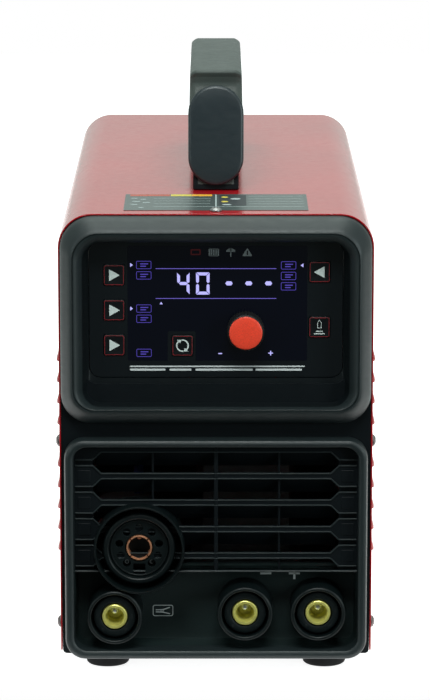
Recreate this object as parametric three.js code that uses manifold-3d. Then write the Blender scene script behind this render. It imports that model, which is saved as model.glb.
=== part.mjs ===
// A portable plasma cutter with a built-in compressor: a red folded-steel cover over a sheet tray, black moulded
// end panels, a bridge handle, a control facia with six keys and a dial, a torch socket and three current
// sockets, and the inverter, fan, valve and compressor that they need.
// Millimetres. +Z is up, -Y is the front, and the origin is on the floor under the middle of the machine.
import * as THREE from "three";
import { mergeVertices } from "three/addons/utils/BufferGeometryUtils.js";
import Module from "manifold-3d";

const wasm = await Module();
wasm.setup();

// ---- Driving dimensions ----
const GAP = 0.3; // clearance between pieces that touch on the real machine
const COVER = { width: 230, top: 345, bottom: 17, length: 534, sheet: 1.2, cornerR: 25 };
const OVERHANG = 16; // how far the hood, and at the back the air inlet, stands out from the cover's end
const PANEL = { halfWidth: 113, bottom: 14.5, top: 343.2, cornerR: 23.5, front: 0.5, sheet: 3, skirt: 22 };
const HOOD = { halfWidth: 111.6, bottom: 190.3, top: 341.6, cornerR: 23, lip: 13, bottomLip: 12.7, topLip: 15.6 };
const TUB = { halfWidth: 93, bottom: 222.5, top: 323.5, cornerR: 8, ledge: 7.3, wall: 2.5 };
const FRAME = { halfWidth: 111.4, bottom: 12.3, top: 179.4, cornerR: 15, front: -11, width: 6.9 };
const RECESS = { halfWidth: 103.5, bottom: 19.3, top: 77.5, floor: 19, wall: 2.5 };
const GRILLE = { rows: 5, pitch: 20.1, topRow: 168.2, slot: 16.3, halfLong: 90.5, halfShort: 84.5,
  tail: 103, tailHeight: 4.4 };
const RIBS = [-46.5, 0, 46.5];
const RIB_WIDTH = 3;
const TORCH = { x: -56.6, z: 96.3, bossR: 33.6, boreR: 31.4, front: -13 };
const CURRENT_SOCKETS = [
  { name: "clamp", x: -74.8, z: 44.6 },
  { name: "negative", x: 21.5, z: 47.5 },
  { name: "positive", x: 75.4, z: 47.5 },
];
const SOCKET = { bossR: 20.3, boreR: 17.4, faceR: 15.6, neckR: 13.7, brassR: 9.4, pinR: 6.6, front: -11,
  face: -7 };
const FACIA = { front: 5, back: 7 };
const KEY = { size: 15.4, front: 4.2, back: 12, cornerR: 1.5 };
const KEYS = [
  { name: "key_air_source", x: -74.4, z: 299 },
  { name: "key_trigger_mode", x: -74.4, z: 273 },
  { name: "key_post_flow", x: -74.4, z: 247 },
  { name: "key_process", x: 75.6, z: 301.3 },
  { name: "key_gas_test", x: 75.6, z: 260.4 },
  { name: "key_cycle", x: -24.5, z: 246.7 },
];
const DIAL = { x: 21.7, z: 258.6, r: 13.8, capR: 12.2, front: -9.5, back: 4.3, shaftR: 3 };
const LOUVRES = { rows: 10, pitch: 16.1, lowest: 81.5, height: 10.5, reach: 4, length: 120, starts: [45, 369] };
const HANDLE = { length: 260, height: 92, crown: 4, width: 42, gripDepth: 30, legDepth: 48, lean: 15,
  gapR: 20, y: -32 };
const HANDLE_CAP = { width: 41, height: 75.5, thickness: 2.4 };
const FOOT = { r: 16.5, topR: 14.5, height: 13.7, x: 81, inset: 28.5 };
const TRAY = { halfWidth: 112.6, bottom: 14, sheet: 1.5, flange: 40, end: 5 };
const DECK = { z: 178, halfWidth: 106, sheet: 1.5, front: 70, back: 484 };
const COOLING_FAN = { z: 255, size: 120, depth: 25, boreR: 56, hubR: 20, blades: 7 };
const MOTOR = { x: 24, z: 80, r: 40, front: 10, back: 130 };
const COVER_SCREWS = { headR: 4.4, inset: 12, upper: 174, lower: 36 };

// ---- Materials ----
const paint = (color, roughness, metalness) => new THREE.MeshStandardMaterial({ color, roughness, metalness });
const RED_PAINT = paint(0xb3131f, 0.3, 0.1);
const BLACK_MOULDING = paint(0x1b1f22, 0.55, 0);
const HANDLE_PLASTIC = paint(0x2a3134, 0.5, 0);
const FACIA_GLOSS = paint(0x08090b, 0.15, 0);
const KEY_FILM = paint(0x14171a, 0.35, 0);
const DIAL_RED = paint(0xd83a22, 0.4, 0);
const BRASS = paint(0xd8b64a, 0.25, 1);
const COPPER = paint(0xa8623a, 0.3, 1);
const STEEL = paint(0xb9bcbf, 0.3, 1);
const RUBBER = paint(0x141414, 0.85, 0);
const BOARD_GREEN = paint(0x1d5b37, 0.5, 0);
const ALUMINIUM = paint(0xb4b8bb, 0.4, 1);
const BLACK_STEEL = paint(0x202326, 0.45, 0.4);
const WINDING = paint(0x8a3f22, 0.45, 0.3);
const HOSE_BLUE = paint(0x2b5fb0, 0.4, 0);

// ---- Solids and booleans ----
function solidOf(geometry) {
  const bare = geometry.clone();
  bare.deleteAttribute("normal");
  bare.deleteAttribute("uv");
  const merged = mergeVertices(bare, 1e-4);
  const vertProperties = new Float32Array(merged.attributes.position.array);
  const triVerts = new Uint32Array(merged.index.array);
  return new wasm.Manifold(new wasm.Mesh({ numProp: 3, vertProperties, triVerts }));
}

function geometryOf(solid) {
  const { vertProperties, triVerts } = solid.getMesh();
  const geometry = new THREE.BufferGeometry();
  geometry.setAttribute("position", new THREE.BufferAttribute(new Float32Array(vertProperties), 3));
  geometry.setIndex(new THREE.BufferAttribute(new Uint32Array(triVerts), 1));
  geometry.computeVertexNormals();
  return geometry;
}

const joined = (first, ...others) => geometryOf(others.reduce((s, g) => s.add(solidOf(g)), solidOf(first)));
const minus = (first, ...tools) => geometryOf(tools.reduce((s, g) => s.subtract(solidOf(g)), solidOf(first)));

// A rounded rectangle from (x0, y0) to (x1, y1); the lower corners may have a radius of their own.
function roundedRect(x0, y0, x1, y1, r, lowerR = r) {
  const shape = new THREE.Shape();
  shape.moveTo(x0 + lowerR, y0);
  shape.lineTo(x1 - lowerR, y0);
  shape.absarc(x1 - lowerR, y0 + lowerR, lowerR, -Math.PI / 2, 0);
  shape.lineTo(x1, y1 - r);
  shape.absarc(x1 - r, y1 - r, r, 0, Math.PI / 2);
  shape.lineTo(x0 + r, y1);
  shape.absarc(x0 + r, y1 - r, r, Math.PI / 2, Math.PI);
  shape.lineTo(x0, y0 + lowerR);
  shape.absarc(x0 + lowerR, y0 + lowerR, lowerR, Math.PI, 1.5 * Math.PI);
  return shape;
}

const centredRect = (halfWidth, bottom, top, r, lowerR) => roundedRect(-halfWidth, bottom, halfWidth, top,
  r, lowerR);
const polygon = (points) => new THREE.Shape(points.map(([a, b]) => new THREE.Vector2(a, b)));

// An X-Z outline made solid from depth `from` to depth `to` along Y.
function slab(shape, from, to, options = {}) {
  const geometry = new THREE.ExtrudeGeometry(shape, {
    depth: to - from,
    bevelEnabled: false,
    curveSegments: 3,
    ...options,
  });
  geometry.rotateX(Math.PI / 2);
  geometry.translate(0, to, 0);
  return geometry;
}

// A Y-Z outline made solid from x0 to x1.
function prism(shape, x0, x1, options = {}) {
  const geometry = new THREE.ExtrudeGeometry(shape, {
    depth: x1 - x0,
    bevelEnabled: false,
    curveSegments: 3,
    ...options,
  });
  const toYZ = new THREE.Matrix4().makeBasis(
    new THREE.Vector3(0, 1, 0),
    new THREE.Vector3(0, 0, 1),
    new THREE.Vector3(1, 0, 0),
  );
  geometry.applyMatrix4(toYZ);
  geometry.translate(x0, 0, 0);
  return geometry;
}

function box(x0, x1, y0, y1, z0, z1) {
  const geometry = new THREE.BoxGeometry(x1 - x0, y1 - y0, z1 - z0);
  geometry.translate((x0 + x1) / 2, (y0 + y1) / 2, (z0 + z1) / 2);
  return geometry;
}

// A cylinder along Y.
function drum(r, from, to, x = 0, z = 0, segments = 24) {
  const geometry = new THREE.CylinderGeometry(r, r, to - from, segments);
  geometry.translate(x, (from + to) / 2, z);
  return geometry;
}

// A profile of [radius, depth] points turned round the Y axis. It starts and ends on the axis, or closes
// on itself.
function turned(profile, segments = 24) {
  const loop = profile[0][0] === 0 ? profile : [...profile, profile[0]];
  const area = loop.reduce((sum, [r, y], i) => {
    const [r2, y2] = loop[(i + 1) % loop.length];
    return sum + r * y2 - r2 * y;
  }, 0);
  const ordered = area > 0 ? loop : [...loop].reverse();
  return new THREE.LatheGeometry(ordered.map(([r, y]) => new THREE.Vector2(r, y)), segments);
}

// Stands a piece that was turned round Y up along Z.
const upright = (geometry) => geometry.rotateX(Math.PI / 2);

function piece(name, geometry, material, x = 0, y = 0, z = 0) {
  const mesh = new THREE.Mesh(geometry, material);
  mesh.name = name;
  mesh.position.set(x, y, z);
  return mesh;
}

// ---- Cover, tray and feet ----
function coverSection() {
  const half = COVER.width / 2;
  const inner = half - COVER.sheet;
  const bend = COVER.top - COVER.cornerR;
  const innerR = COVER.cornerR - COVER.sheet;
  const flat = half - COVER.cornerR;
  const shape = new THREE.Shape();
  shape.moveTo(half, COVER.bottom);
  shape.lineTo(half, bend);
  shape.absarc(flat, bend, COVER.cornerR, 0, Math.PI / 2);
  shape.lineTo(-flat, COVER.top);
  shape.absarc(-flat, bend, COVER.cornerR, Math.PI / 2, Math.PI);
  shape.lineTo(-half, COVER.bottom);
  shape.lineTo(-inner, COVER.bottom);
  shape.lineTo(-inner, bend);
  shape.absarc(-flat, bend, innerR, Math.PI, Math.PI / 2, true);
  shape.lineTo(flat, COVER.top - COVER.sheet);
  shape.absarc(flat, bend, innerR, Math.PI / 2, 0, true);
  shape.lineTo(inner, COVER.bottom);
  return shape;
}

// One lanced louvre on the side that `side` (1 or -1) names: the hood to add and the way in to cut.
function louvre(side, start, z) {
  const wall = COVER.width / 2;
  const top = z + LOUVRES.height;
  const across = (points) => polygon(points.map(([x, h]) => [side * x, h]));
  const inside = wall - 2 * COVER.sheet;
  const hood = [[inside + COVER.sheet, top], [wall, top], [wall + LOUVRES.reach, z], [inside + COVER.sheet, z]];
  const way = [
    [inside, top - 2 * COVER.sheet],
    [wall - COVER.sheet / 2, top - 2 * COVER.sheet],
    [wall + LOUVRES.reach - COVER.sheet, z - 0.1],
    [inside, z - 0.1],
  ];
  const end = start + LOUVRES.length;
  return {
    hood: slab(across(hood), start, end),
    way: slab(across(way), start + COVER.sheet, end - COVER.sheet),
  };
}

function coverShell() {
  const louvres = [-1, 1].flatMap((side) =>
    LOUVRES.starts.flatMap((start) =>
      Array.from({ length: LOUVRES.rows }, (_, row) => louvre(side, start,
        LOUVRES.lowest + row * LOUVRES.pitch)),
    ),
  );
  const sheet = slab(coverSection(), 0, COVER.length, { curveSegments: 4 });
  const withHoods = joined(sheet, ...louvres.map((l) => l.hood));
  return minus(withHoods, ...louvres.map((l) => l.way));
}

function baseTray() {
  const { halfWidth, bottom, sheet, flange, end } = TRAY;
  const section = polygon([
    [-halfWidth, bottom],
    [halfWidth, bottom],
    [halfWidth, flange],
    [halfWidth - sheet, flange],
    [halfWidth - sheet, bottom + sheet],
    [sheet - halfWidth, bottom + sheet],
    [sheet - halfWidth, flange],
    [-halfWidth, flange],
  ]);
  return slab(section, end, COVER.length - end);
}

function foot() {
  const { r, topR, height } = FOOT;
  return upright(turned([[0, 4], [6, 4], [6, 0], [r - 1, 0], [r, 3], [topR, height], [0, height]], 16));
}

// ---- End panels ----
const panelOutline = () => centredRect(PANEL.halfWidth, PANEL.bottom, PANEL.top, PANEL.cornerR, 3);

// The wall behind each end panel that the cover is screwed to, open at the bottom.
function skirt() {
  const { halfWidth, top, cornerR, front, sheet } = PANEL;
  const wall = 2.5;
  const low = TRAY.flange + 2;
  const outer = centredRect(halfWidth - 0.2, low, top - 0.2, cornerR, 0.1);
  const inner = centredRect(halfWidth - wall, low - 1, top - wall, cornerR - wall, 0.1);
  return minus(slab(outer, front + sheet - 0.1, PANEL.skirt), slab(inner, front + sheet - 1, PANEL.skirt + 1));
}

const eased = (size, thickness) => ({
  bevelEnabled: true,
  bevelSize: size,
  bevelOffset: -size,
  bevelThickness: thickness,
  bevelSegments: 1,
});

// A raised ring with eased edges whose front is at depth `front`.
function raisedRing(outer, inner, front, back, ease) {
  const ring = slab(outer, front + ease, back, eased(ease, ease));
  return minus(ring, slab(inner, front - 1, back + ease + 1));
}

function hoodRing() {
  const { halfWidth, bottom, top, cornerR, lip, bottomLip, topLip } = HOOD;
  const outer = centredRect(halfWidth, bottom, top, cornerR);
  const inner = centredRect(halfWidth - lip, bottom + bottomLip, top - topLip, 14);
  return raisedRing(outer, inner, -OVERHANG, PANEL.front, 3);
}

function frameRing() {
  const { halfWidth, bottom, top, cornerR, front, width } = FRAME;
  const outer = centredRect(halfWidth, bottom, top, cornerR);
  const inner = centredRect(halfWidth - width, bottom + width, top - width, cornerR - width);
  return raisedRing(outer, inner, front, PANEL.front, 1.5);
}

// The sloping shelf that runs from the facia's lower edge out to the hood's lower lip.
function hoodShelf() {
  const lipTop = HOOD.bottom + HOOD.bottomLip;
  const reach = HOOD.halfWidth - HOOD.lip + 1;
  const section = polygon([[-OVERHANG + 6, lipTop - 1], [FACIA.back, lipTop - 1],
    [FACIA.back, TUB.bottom], [FACIA.front, TUB.bottom]]);
  return prism(section, -reach, reach);
}

// One opening of the grille between two ribs: a long slot whose ends are cut back at 45 degrees.
function grilleBay(row, left, right) {
  const { pitch, topRow, slot, halfLong, halfShort, tailHeight } = GRILLE;
  const top = topRow - row * pitch;
  const bottom = Math.max(top - slot, RECESS.top + 1.5);
  const middle = top - slot / 2;
  const tailTop = middle + tailHeight / 2;
  const tailBottom = Math.max(middle - tailHeight / 2, bottom);
  const atLeft = left === -Infinity;
  const atRight = right === Infinity;
  const points = [];
  if (atLeft) points.push([-halfShort, bottom], [-halfLong, tailBottom], [-halfLong, tailTop],
    [-halfShort, top]);
  else points.push([left, bottom], [left, top]);
  if (atRight) points.push([halfShort, top], [halfLong, tailTop], [halfLong, tailBottom], [halfShort, bottom]);
  else points.push([right, top], [right, bottom]);
  return slab(polygon(points.reverse()), PANEL.front - 1, PANEL.front + PANEL.sheet + 1);
}

function grilleCuts() {
  const edges = [-Infinity, ...RIBS, Infinity];
  const rows = Array.from({ length: GRILLE.rows }, (_, row) => row);
  return rows.flatMap((row) =>
    edges.slice(1).map((right, i) => grilleBay(row, edges[i] + RIB_WIDTH / 2, right - RIB_WIDTH / 2)),
  );
}

function frontPanel() {
  const { front, sheet } = PANEL;
  const back = front + sheet;
  const torchBoss = drum(TORCH.bossR, TORCH.front, RECESS.floor + sheet, TORCH.x, TORCH.z, 32);
  const bays = geometryOf(
    grilleCuts().reduce((s, g) => s.add(solidOf(g)), solidOf(box(-1, 1, -1, 1, -99, -98))),
  );
  const tubOuter = centredRect(TUB.halfWidth + TUB.wall, TUB.bottom - TUB.wall, TUB.top + TUB.wall,
    TUB.cornerR + TUB.wall);
  const recessOuter = centredRect(
    RECESS.halfWidth + RECESS.wall,
    RECESS.bottom - RECESS.wall,
    RECESS.top + RECESS.wall,
    6,
  );
  const sheetWithBays = minus(slab(panelOutline(), front, back), bays);
  const body = joined(
    sheetWithBays,
    skirt(),
    hoodRing(),
    frameRing(),
    slab(tubOuter, front, TUB.ledge + TUB.wall),
    slab(recessOuter, front, RECESS.floor + sheet),
  );
  const tubWay = slab(centredRect(TUB.halfWidth, TUB.bottom, TUB.top, TUB.cornerR), front - 1, TUB.ledge);
  const hoodWay = slab(
    centredRect(HOOD.halfWidth - HOOD.lip, HOOD.bottom + HOOD.bottomLip, HOOD.top - HOOD.topLip, 14),
    front - 1,
    front + 0.01,
  );
  const ledgeWay = slab(centredRect(88.5, 227, 319.5, 4), TUB.ledge - 1, TUB.ledge + TUB.wall + 1);
  const recessWay = slab(
    centredRect(RECESS.halfWidth, RECESS.bottom, RECESS.top, 4),
    FRAME.front - 1,
    RECESS.floor,
  );
  const opened = minus(body, tubWay, hoodWay, ledgeWay, recessWay);
  const bosses = CURRENT_SOCKETS.map(({ x, z }) => drum(SOCKET.bossR, SOCKET.front, RECESS.floor + 1, x, z));
  const bores = CURRENT_SOCKETS.flatMap(({ x, z }) => [
    drum(SOCKET.boreR, SOCKET.front - 1, RECESS.floor, x, z),
    drum(SOCKET.neckR + GAP, RECESS.floor - 1, RECESS.floor + sheet + 1, x, z),
  ]);
  const withBosses = joined(opened, hoodShelf(), torchBoss, ...bosses);
  return minus(
    withBosses,
    ...bores,
    drum(TORCH.boreR, TORCH.front - 1, RECESS.floor, TORCH.x, TORCH.z, 32),
    drum(24.5, RECESS.floor - 1, RECESS.floor + sheet + 1, TORCH.x, TORCH.z, 32),
  );
}

const REAR = {
  fanZ: COOLING_FAN.z,
  switch: { x: -58, z: 118, width: 27, height: 21 },
  gland: { x: 56, z: 112, r: 12.3 },
  inlet: { x: 0, z: 60, r: 7.3 },
  vents: { rows: 5, pitch: 9, lowest: 128, halfWidth: 26, height: 4 },
};

function rearPanel() {
  const { front, sheet } = PANEL;
  const back = front + sheet;
  const { switch: hole, gland, inlet, vents } = REAR;
  const vent = (row) => {
    const z = vents.lowest + row * vents.pitch;
    return slab(centredRect(vents.halfWidth, z, z + vents.height, 1.9), front - 1, back + 1,
      { curveSegments: 1 });
  };
  const body = joined(slab(panelOutline(), front, back), skirt(), frameRingAtRear());
  return minus(
    body,
    drum(COOLING_FAN.boreR, front - 1, back + 1, 0, REAR.fanZ, 40),
    box(
      hole.x - hole.width / 2,
      hole.x + hole.width / 2,
      front - 1,
      back + 1,
      hole.z - hole.height / 2,
      hole.z + hole.height / 2,
    ),
    drum(gland.r + GAP, front - 1, back + 1, gland.x, gland.z, 24),
    drum(inlet.r + GAP, front - 1, back + 1, inlet.x, inlet.z, 24),
    ...Array.from({ length: vents.rows }, (_, row) => vent(row)),
  );
}

function frameRingAtRear() {
  const { halfWidth, bottom, width } = FRAME;
  const outer = centredRect(halfWidth, bottom, HOOD.top, HOOD.cornerR, FRAME.cornerR);
  const inner = centredRect(halfWidth - width, bottom + width, HOOD.top - width, HOOD.cornerR - width,
    FRAME.cornerR - width);
  return raisedRing(outer, inner, -8, PANEL.front, 1.5);
}

// ---- Handle ----
// The side view: two legs that lean in, joined by a slightly crowned grip, with the space for a hand
// between them.
function handleBody() {
  const { length, height, crown, width, gripDepth, legDepth, lean, gapR } = HANDLE;
  const half = length / 2;
  const shoulder = 7;
  const gap = half - legDepth;
  const under = height - gripDepth;
  const side = new THREE.Shape();
  side.moveTo(-half, GAP);
  const end = height - crown;
  side.lineTo(-half + lean, end - shoulder);
  side.quadraticCurveTo(-half + lean + 1, end, -half + lean + shoulder, end);
  side.quadraticCurveTo(0, height + crown, half - lean - shoulder, end);
  side.quadraticCurveTo(half - lean - 1, end, half - lean, end - shoulder);
  side.lineTo(half, GAP);
  side.lineTo(gap, GAP);
  side.lineTo(gap, under - gapR);
  side.absarc(gap - gapR, under - gapR, gapR, 0, Math.PI / 2);
  side.lineTo(gapR - gap, under);
  side.absarc(gapR - gap, under - gapR, gapR, Math.PI / 2, Math.PI);
  side.lineTo(-gap, GAP);
  const ease = 4;
  const body = prism(side, ease - width / 2, width / 2 - ease, eased(ease, ease));
  return minus(body, box(-width, width, -length, length, -2 * ease, GAP));
}

// The oval cover over the fixing screw in each leg, lying on the leg's leaning face.
function handleCap() {
  const { width, height, thickness } = HANDLE_CAP;
  const r = width / 2;
  return slab(roundedRect(-r, 0, r, height, r - 0.01), -thickness, 0, { curveSegments: 4 });
}

// ---- Controls ----
const keyOutline = (size) => roundedRect(-size / 2, -size / 2, size / 2, size / 2, KEY.cornerR);

function controlFacia() {
  const plate = slab(centredRect(TUB.halfWidth - 0.5, TUB.bottom + 0.5, TUB.top - 0.5, 7.5), FACIA.front,
    FACIA.back);
  const keyWays = KEYS.map(({ x, z }) => {
    const way = slab(keyOutline(KEY.size + 2 * GAP), FACIA.front - 1, FACIA.back + 1, { curveSegments: 1 });
    return way.translate(x, 0, z);
  });
  return minus(plate, ...keyWays, drum(5, FACIA.front - 1, FACIA.back + 1, DIAL.x, DIAL.z, 24));
}

function key() {
  const stem = slab(roundedRect(-2, -2, 2, 2, 0.5), KEY.front + 4, KEY.back, { curveSegments: 1 });
  return joined(slab(keyOutline(KEY.size), KEY.front, KEY.front + 4.5, { curveSegments: 1 }), stem);
}

// The knob and its shaft, which turns in the encoder's bush.
function dialBody() {
  const { r, front, back, shaftR } = DIAL;
  const end = 12;
  return turned([[0, front], [r - 1, front], [r, front + 1.5], [r, back], [shaftR, back], [shaftR, end],
    [0, end]], 28);
}

function encoder() {
  const bush = drum(4.5, DIAL.back + GAP, 8.5, 0, 0, 20);
  const housing = joined(box(-6, 6, 8, 13.7, -6, 6), bush);
  return minus(housing, drum(DIAL.shaftR + 0.1, 0, 12.5, 0, 0, 28));
}

// ---- Torch socket, round its own axis ----
function torchHousing() {
  const floor = RECESS.floor - GAP;
  return turned([[22, -8], [25.6, -8], [27, -6.5], [27, floor], [24.2, floor], [24.2, 44], [18, 44],
    [18, 6], [22, 6]], 28);
}

function torchInsulator() {
  const disc = turned([[10.2, -3.5], [20.6, -3.5], [21.6, -2.5], [21.6, 5.7], [10.2, 5.7]], 28);
  const aroundR = 14.9;
  const angles = [90, 128, 52, 168, 12, 204, 336, 232, 308];
  const holes = angles.map((degrees) => {
    const a = THREE.MathUtils.degToRad(degrees);
    return drum(2.9, -5, 7, aroundR * Math.cos(a), aroundR * Math.sin(a), 8);
  });
  return minus(disc, ...holes, box(-4.5, 4.5, -5, 7, -20, -11));
}

function torchContact() {
  const sleeve = turned([[8.1, -5], [9, -5], [9.5, -4], [9.5, 20], [6, 20], [6, 48], [0, 48], [0, 14],
    [8.1, 14]], 24);
  const slit = box(-0.6, 0.6, -6, 10, -11, 11);
  const turn = (degrees) => slit.clone().rotateY(THREE.MathUtils.degToRad(degrees));
  return minus(sleeve, turn(45), turn(-45));
}

// ---- Current sockets, each round its own axis ----
function socketBody() {
  const { faceR, neckR, brassR, face } = SOCKET;
  const floor = RECESS.floor - GAP;
  const bore = brassR + GAP;
  return turned(
    [[bore + 0.8, face], [faceR - 0.8, face], [faceR, face + 0.8], [faceR, floor], [neckR, floor],
      [neckR, 34], [bore, 34], [bore, face + 2]],
    20,
  );
}

function socketBrass() {
  const { brassR, pinR, face } = SOCKET;
  const lip = face - 0.8;
  return turned([[pinR, lip], [brassR - 0.6, lip], [brassR, lip + 0.6], [brassR, 42], [0, 42], [0, 22],
    [pinR, 22]], 20);
}

// The steel pin that the plug's cam slides under, standing down from the top of the bore.
function socketPin() {
  const r = 2.4;
  const pin = new THREE.CapsuleGeometry(r, 2.2, 2, 10).rotateX(Math.PI / 2);
  return minus(pin, box(-r - 1, r + 1, -r - 1, r + 1, 1.7, 5));
}

// ---- Rear fittings, each round its own axis ----
function fanGuard() {
  const wire = 1.1;
  const rings = [18, 36, 54].map((r) => new THREE.TorusGeometry(r, wire, 4, 20).rotateX(Math.PI / 2));
  const bars = [0, 60, 120].map((degrees) =>
    box(-61, 61, -wire, wire, -wire, wire).rotateY(THREE.MathUtils.degToRad(degrees)),
  );
  return joined(rings[0], ...rings.slice(1), ...bars);
}

function switchBody() {
  const { width, height } = REAR.switch;
  const half = width / 2 - GAP;
  const tall = height / 2 - GAP;
  const flange = slab(roundedRect(-half - 2, -tall - 2, half + 2, tall + 2, 1.5), -1.8, 0.2);
  const barrel = slab(roundedRect(-half, -tall, half, tall, 1), 0, 22);
  return minus(joined(flange, barrel), slab(roundedRect(-half + 2, -tall + 2, half - 2, tall - 2, 0.5), -3, 16));
}

// A rocker that pivots on X with two faces at a shallow angle to each other.
function switchRocker() {
  const half = REAR.switch.width / 2 - GAP - 2.5;
  const tall = REAR.switch.height / 2 - GAP - 2.6;
  const section = polygon([[0, -tall], [-4.5, -tall + 0.4], [-2.6, 0], [-4.5, tall - 0.4], [0, tall],
    [5, 2], [5, -2]].reverse());
  return prism(section, -half, half);
}

function cableGland() {
  const outer = turned(
    [[6, -14], [9, -14], [11, -11], [12.5, -4], [16, -4], [16, 0.2], [12.3, 0.2], [12.3, 14], [6, 14]],
    20,
  );
  return outer;
}

function airInlet() {
  const end = -OVERHANG;
  return turned(
    [[2.6, end], [4, end], [5.4, end + 2], [4.6, end + 5], [5.9, end + 7], [5.9, -6], [10, -6], [10, 0.2],
      [7.3, 0.2], [7.3, 18], [2.6, 18]],
    18,
  );
}

// ---- Cooling fan, round its own axis ----
function fanFrame() {
  const { size, depth, boreR, hubR } = COOLING_FAN;
  const half = size / 2 - 0.5;
  const square = slab(roundedRect(-half, -half, half, half, 5), 0, depth);
  const ring = minus(square, drum(boreR, -1, depth + 1, 0, 0, 40));
  const spokes = [45, 135].map((degrees) =>
    box(-boreR - 1, boreR + 1, depth - 3, depth, -2, 2).rotateY(THREE.MathUtils.degToRad(degrees)),
  );
  return joined(ring, ...spokes, drum(hubR, depth - 4, depth, 0, 0, 24));
}

function fanRotor() {
  const { depth, boreR, hubR, blades } = COOLING_FAN;
  const tip = boreR - 2;
  const blade = new THREE.BoxGeometry(tip - hubR + 4, 2, 20);
  blade.rotateX(THREE.MathUtils.degToRad(52));
  blade.translate((tip + hubR - 4) / 2, depth / 2 - 2.5, 0);
  const around = Array.from({ length: blades }, (_, i) => blade.clone().rotateY((i * 2 * Math.PI) / blades));
  return joined(drum(hubR, 1, depth - 5, 0, 0, 24), ...around);
}

// ---- Electronics on the deck ----
function deck() {
  const { z, halfWidth, sheet, front, back } = DECK;
  const low = TRAY.bottom + TRAY.sheet + GAP;
  const section = polygon([
    [-halfWidth, low],
    [-halfWidth + sheet, low],
    [-halfWidth + sheet, z],
    [halfWidth - sheet, z],
    [halfWidth - sheet, low],
    [halfWidth, low],
    [halfWidth, z + sheet],
    [-halfWidth, z + sheet],
  ]);
  const bridge = slab(section, front, back);
  const legCut = (from, to) => box(-halfWidth - 1, halfWidth + 1, from, to, low - 1, z - 20);
  return minus(bridge, legCut(front + 30, back - 30));
}

function heatsink() {
  const fins = 9;
  const pitch = 8;
  const half = (fins - 1) * pitch * 0.5;
  const plates = Array.from({ length: fins }, (_, i) => box(i * pitch - half - 1, i * pitch - half + 1, 0,
    150, 0, 34));
  return joined(box(-half - 2, half + 2, 0, 150, 33, 39), ...plates);
}

// A ferrite core with its winding standing proud on both sides.
function transformer() {
  const core = minus(box(-35, 35, 0, 40, 0, 66), box(-24, -12, -1, 41, 12, 54), box(12, 24, -1, 41, 12, 54));
  return joined(core, box(-23, -0.1, -8, 48, 15, 51), box(0.1, 23, -8, 48, 15, 51), box(-5, 5, 0, 40, 15, 51));
}

function choke() {
  return new THREE.TorusGeometry(20, 9, 8, 20);
}

// ---- Compressor ----
function compressorMotor() {
  const { r, front, back } = MOTOR;
  const length = back - front;
  return turned([[0, 0], [r - 6, 0], [r, 5], [r, length - 5], [r - 6, length], [5, length],
    [5, length - 10], [0, length - 10]], 32);
}

function crankcase() {
  const body = box(-34, 34, -70, -GAP, -46, 34);
  const mounts = [box(-44, 44, -64, -48, -64, -45.9), box(-44, 44, -22, -6, -64, -45.9)];
  return joined(body, ...mounts, box(-30, 30, -60, -10, 33.9, 38));
}

// A finned cylinder with its head on top.
function compressorCylinder() {
  const profile = [[0, 0], [24, 0]];
  const fins = 4;
  const pitch = 7.5;
  for (let i = 0; i < fins; i += 1) {
    profile.push([24, 3 + i * pitch], [30, 3 + i * pitch], [30, 5 + i * pitch], [24, 5 + i * pitch]);
  }
  profile.push([24, 34], [31, 34], [31, 50], [0, 50]);
  return upright(turned(profile, 16));
}

function compressorFan() {
  const hub = drum(9, 2, 14, 0, 0, 16);
  const shaft = drum(4.6, -9, 4, 0, 0, 12);
  const blade = new THREE.BoxGeometry(28, 1.6, 14);
  blade.rotateX(THREE.MathUtils.degToRad(38));
  blade.translate(21, 8, 0);
  const around = Array.from({ length: 6 }, (_, i) => blade.clone().rotateY((i * Math.PI) / 3));
  return joined(hub, shaft, ...around);
}

// ---- Air line ----
function solenoidValve() {
  return joined(box(-14, 14, -16, 16, 0, 24), upright(turned([[0, 23.9], [12, 23.9], [12, 58], [0, 58]], 24)));
}

function filterBowl() {
  return upright(turned([[0, 0], [12, 0], [17, 8], [17, 52], [20, 52], [20, 70], [0, 70]], 24));
}

// The hose from the compressor's head, over the deck's front edge and down to the filter.
function airHose() {
  const route = new THREE.CatmullRomCurve3([
    new THREE.Vector3(-13.6, 0, 0),
    new THREE.Vector3(-34, -8, 0),
    new THREE.Vector3(-52, -40, -8),
    new THREE.Vector3(-56, -64, -28),
    new THREE.Vector3(-56, -72, -56.6),
  ]);
  const r = 4;
  const section = new THREE.Shape(
    Array.from({ length: 8 }, (_, i) => new THREE.Vector2(r * Math.cos((i * Math.PI) / 4),
      r * Math.sin((i * Math.PI) / 4))),
  );
  return new THREE.ExtrudeGeometry(section, { steps: 18, extrudePath: route, bevelEnabled: false });
}

// ---- Screws ----
// A pan-head screw along Y whose head faces -Y.
function coverScrew() {
  const { headR } = COVER_SCREWS;
  return turned([[0, -1.4], [1.5, -2.7], [2.6, -2.7], [headR, -0.9], [headR, 0], [0, 0]], 14);
}

// ---- Assembly ----
const machine = new THREE.Group();
const front = new THREE.Group(); // depth is measured back from the cover's front edge
front.position.y = -COVER.length / 2;
const rear = new THREE.Group(); // depth is measured forward from the cover's rear edge
rear.position.y = COVER.length / 2;
rear.rotation.z = Math.PI;
const inside = new THREE.Group();
machine.add(front, rear, inside);

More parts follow.
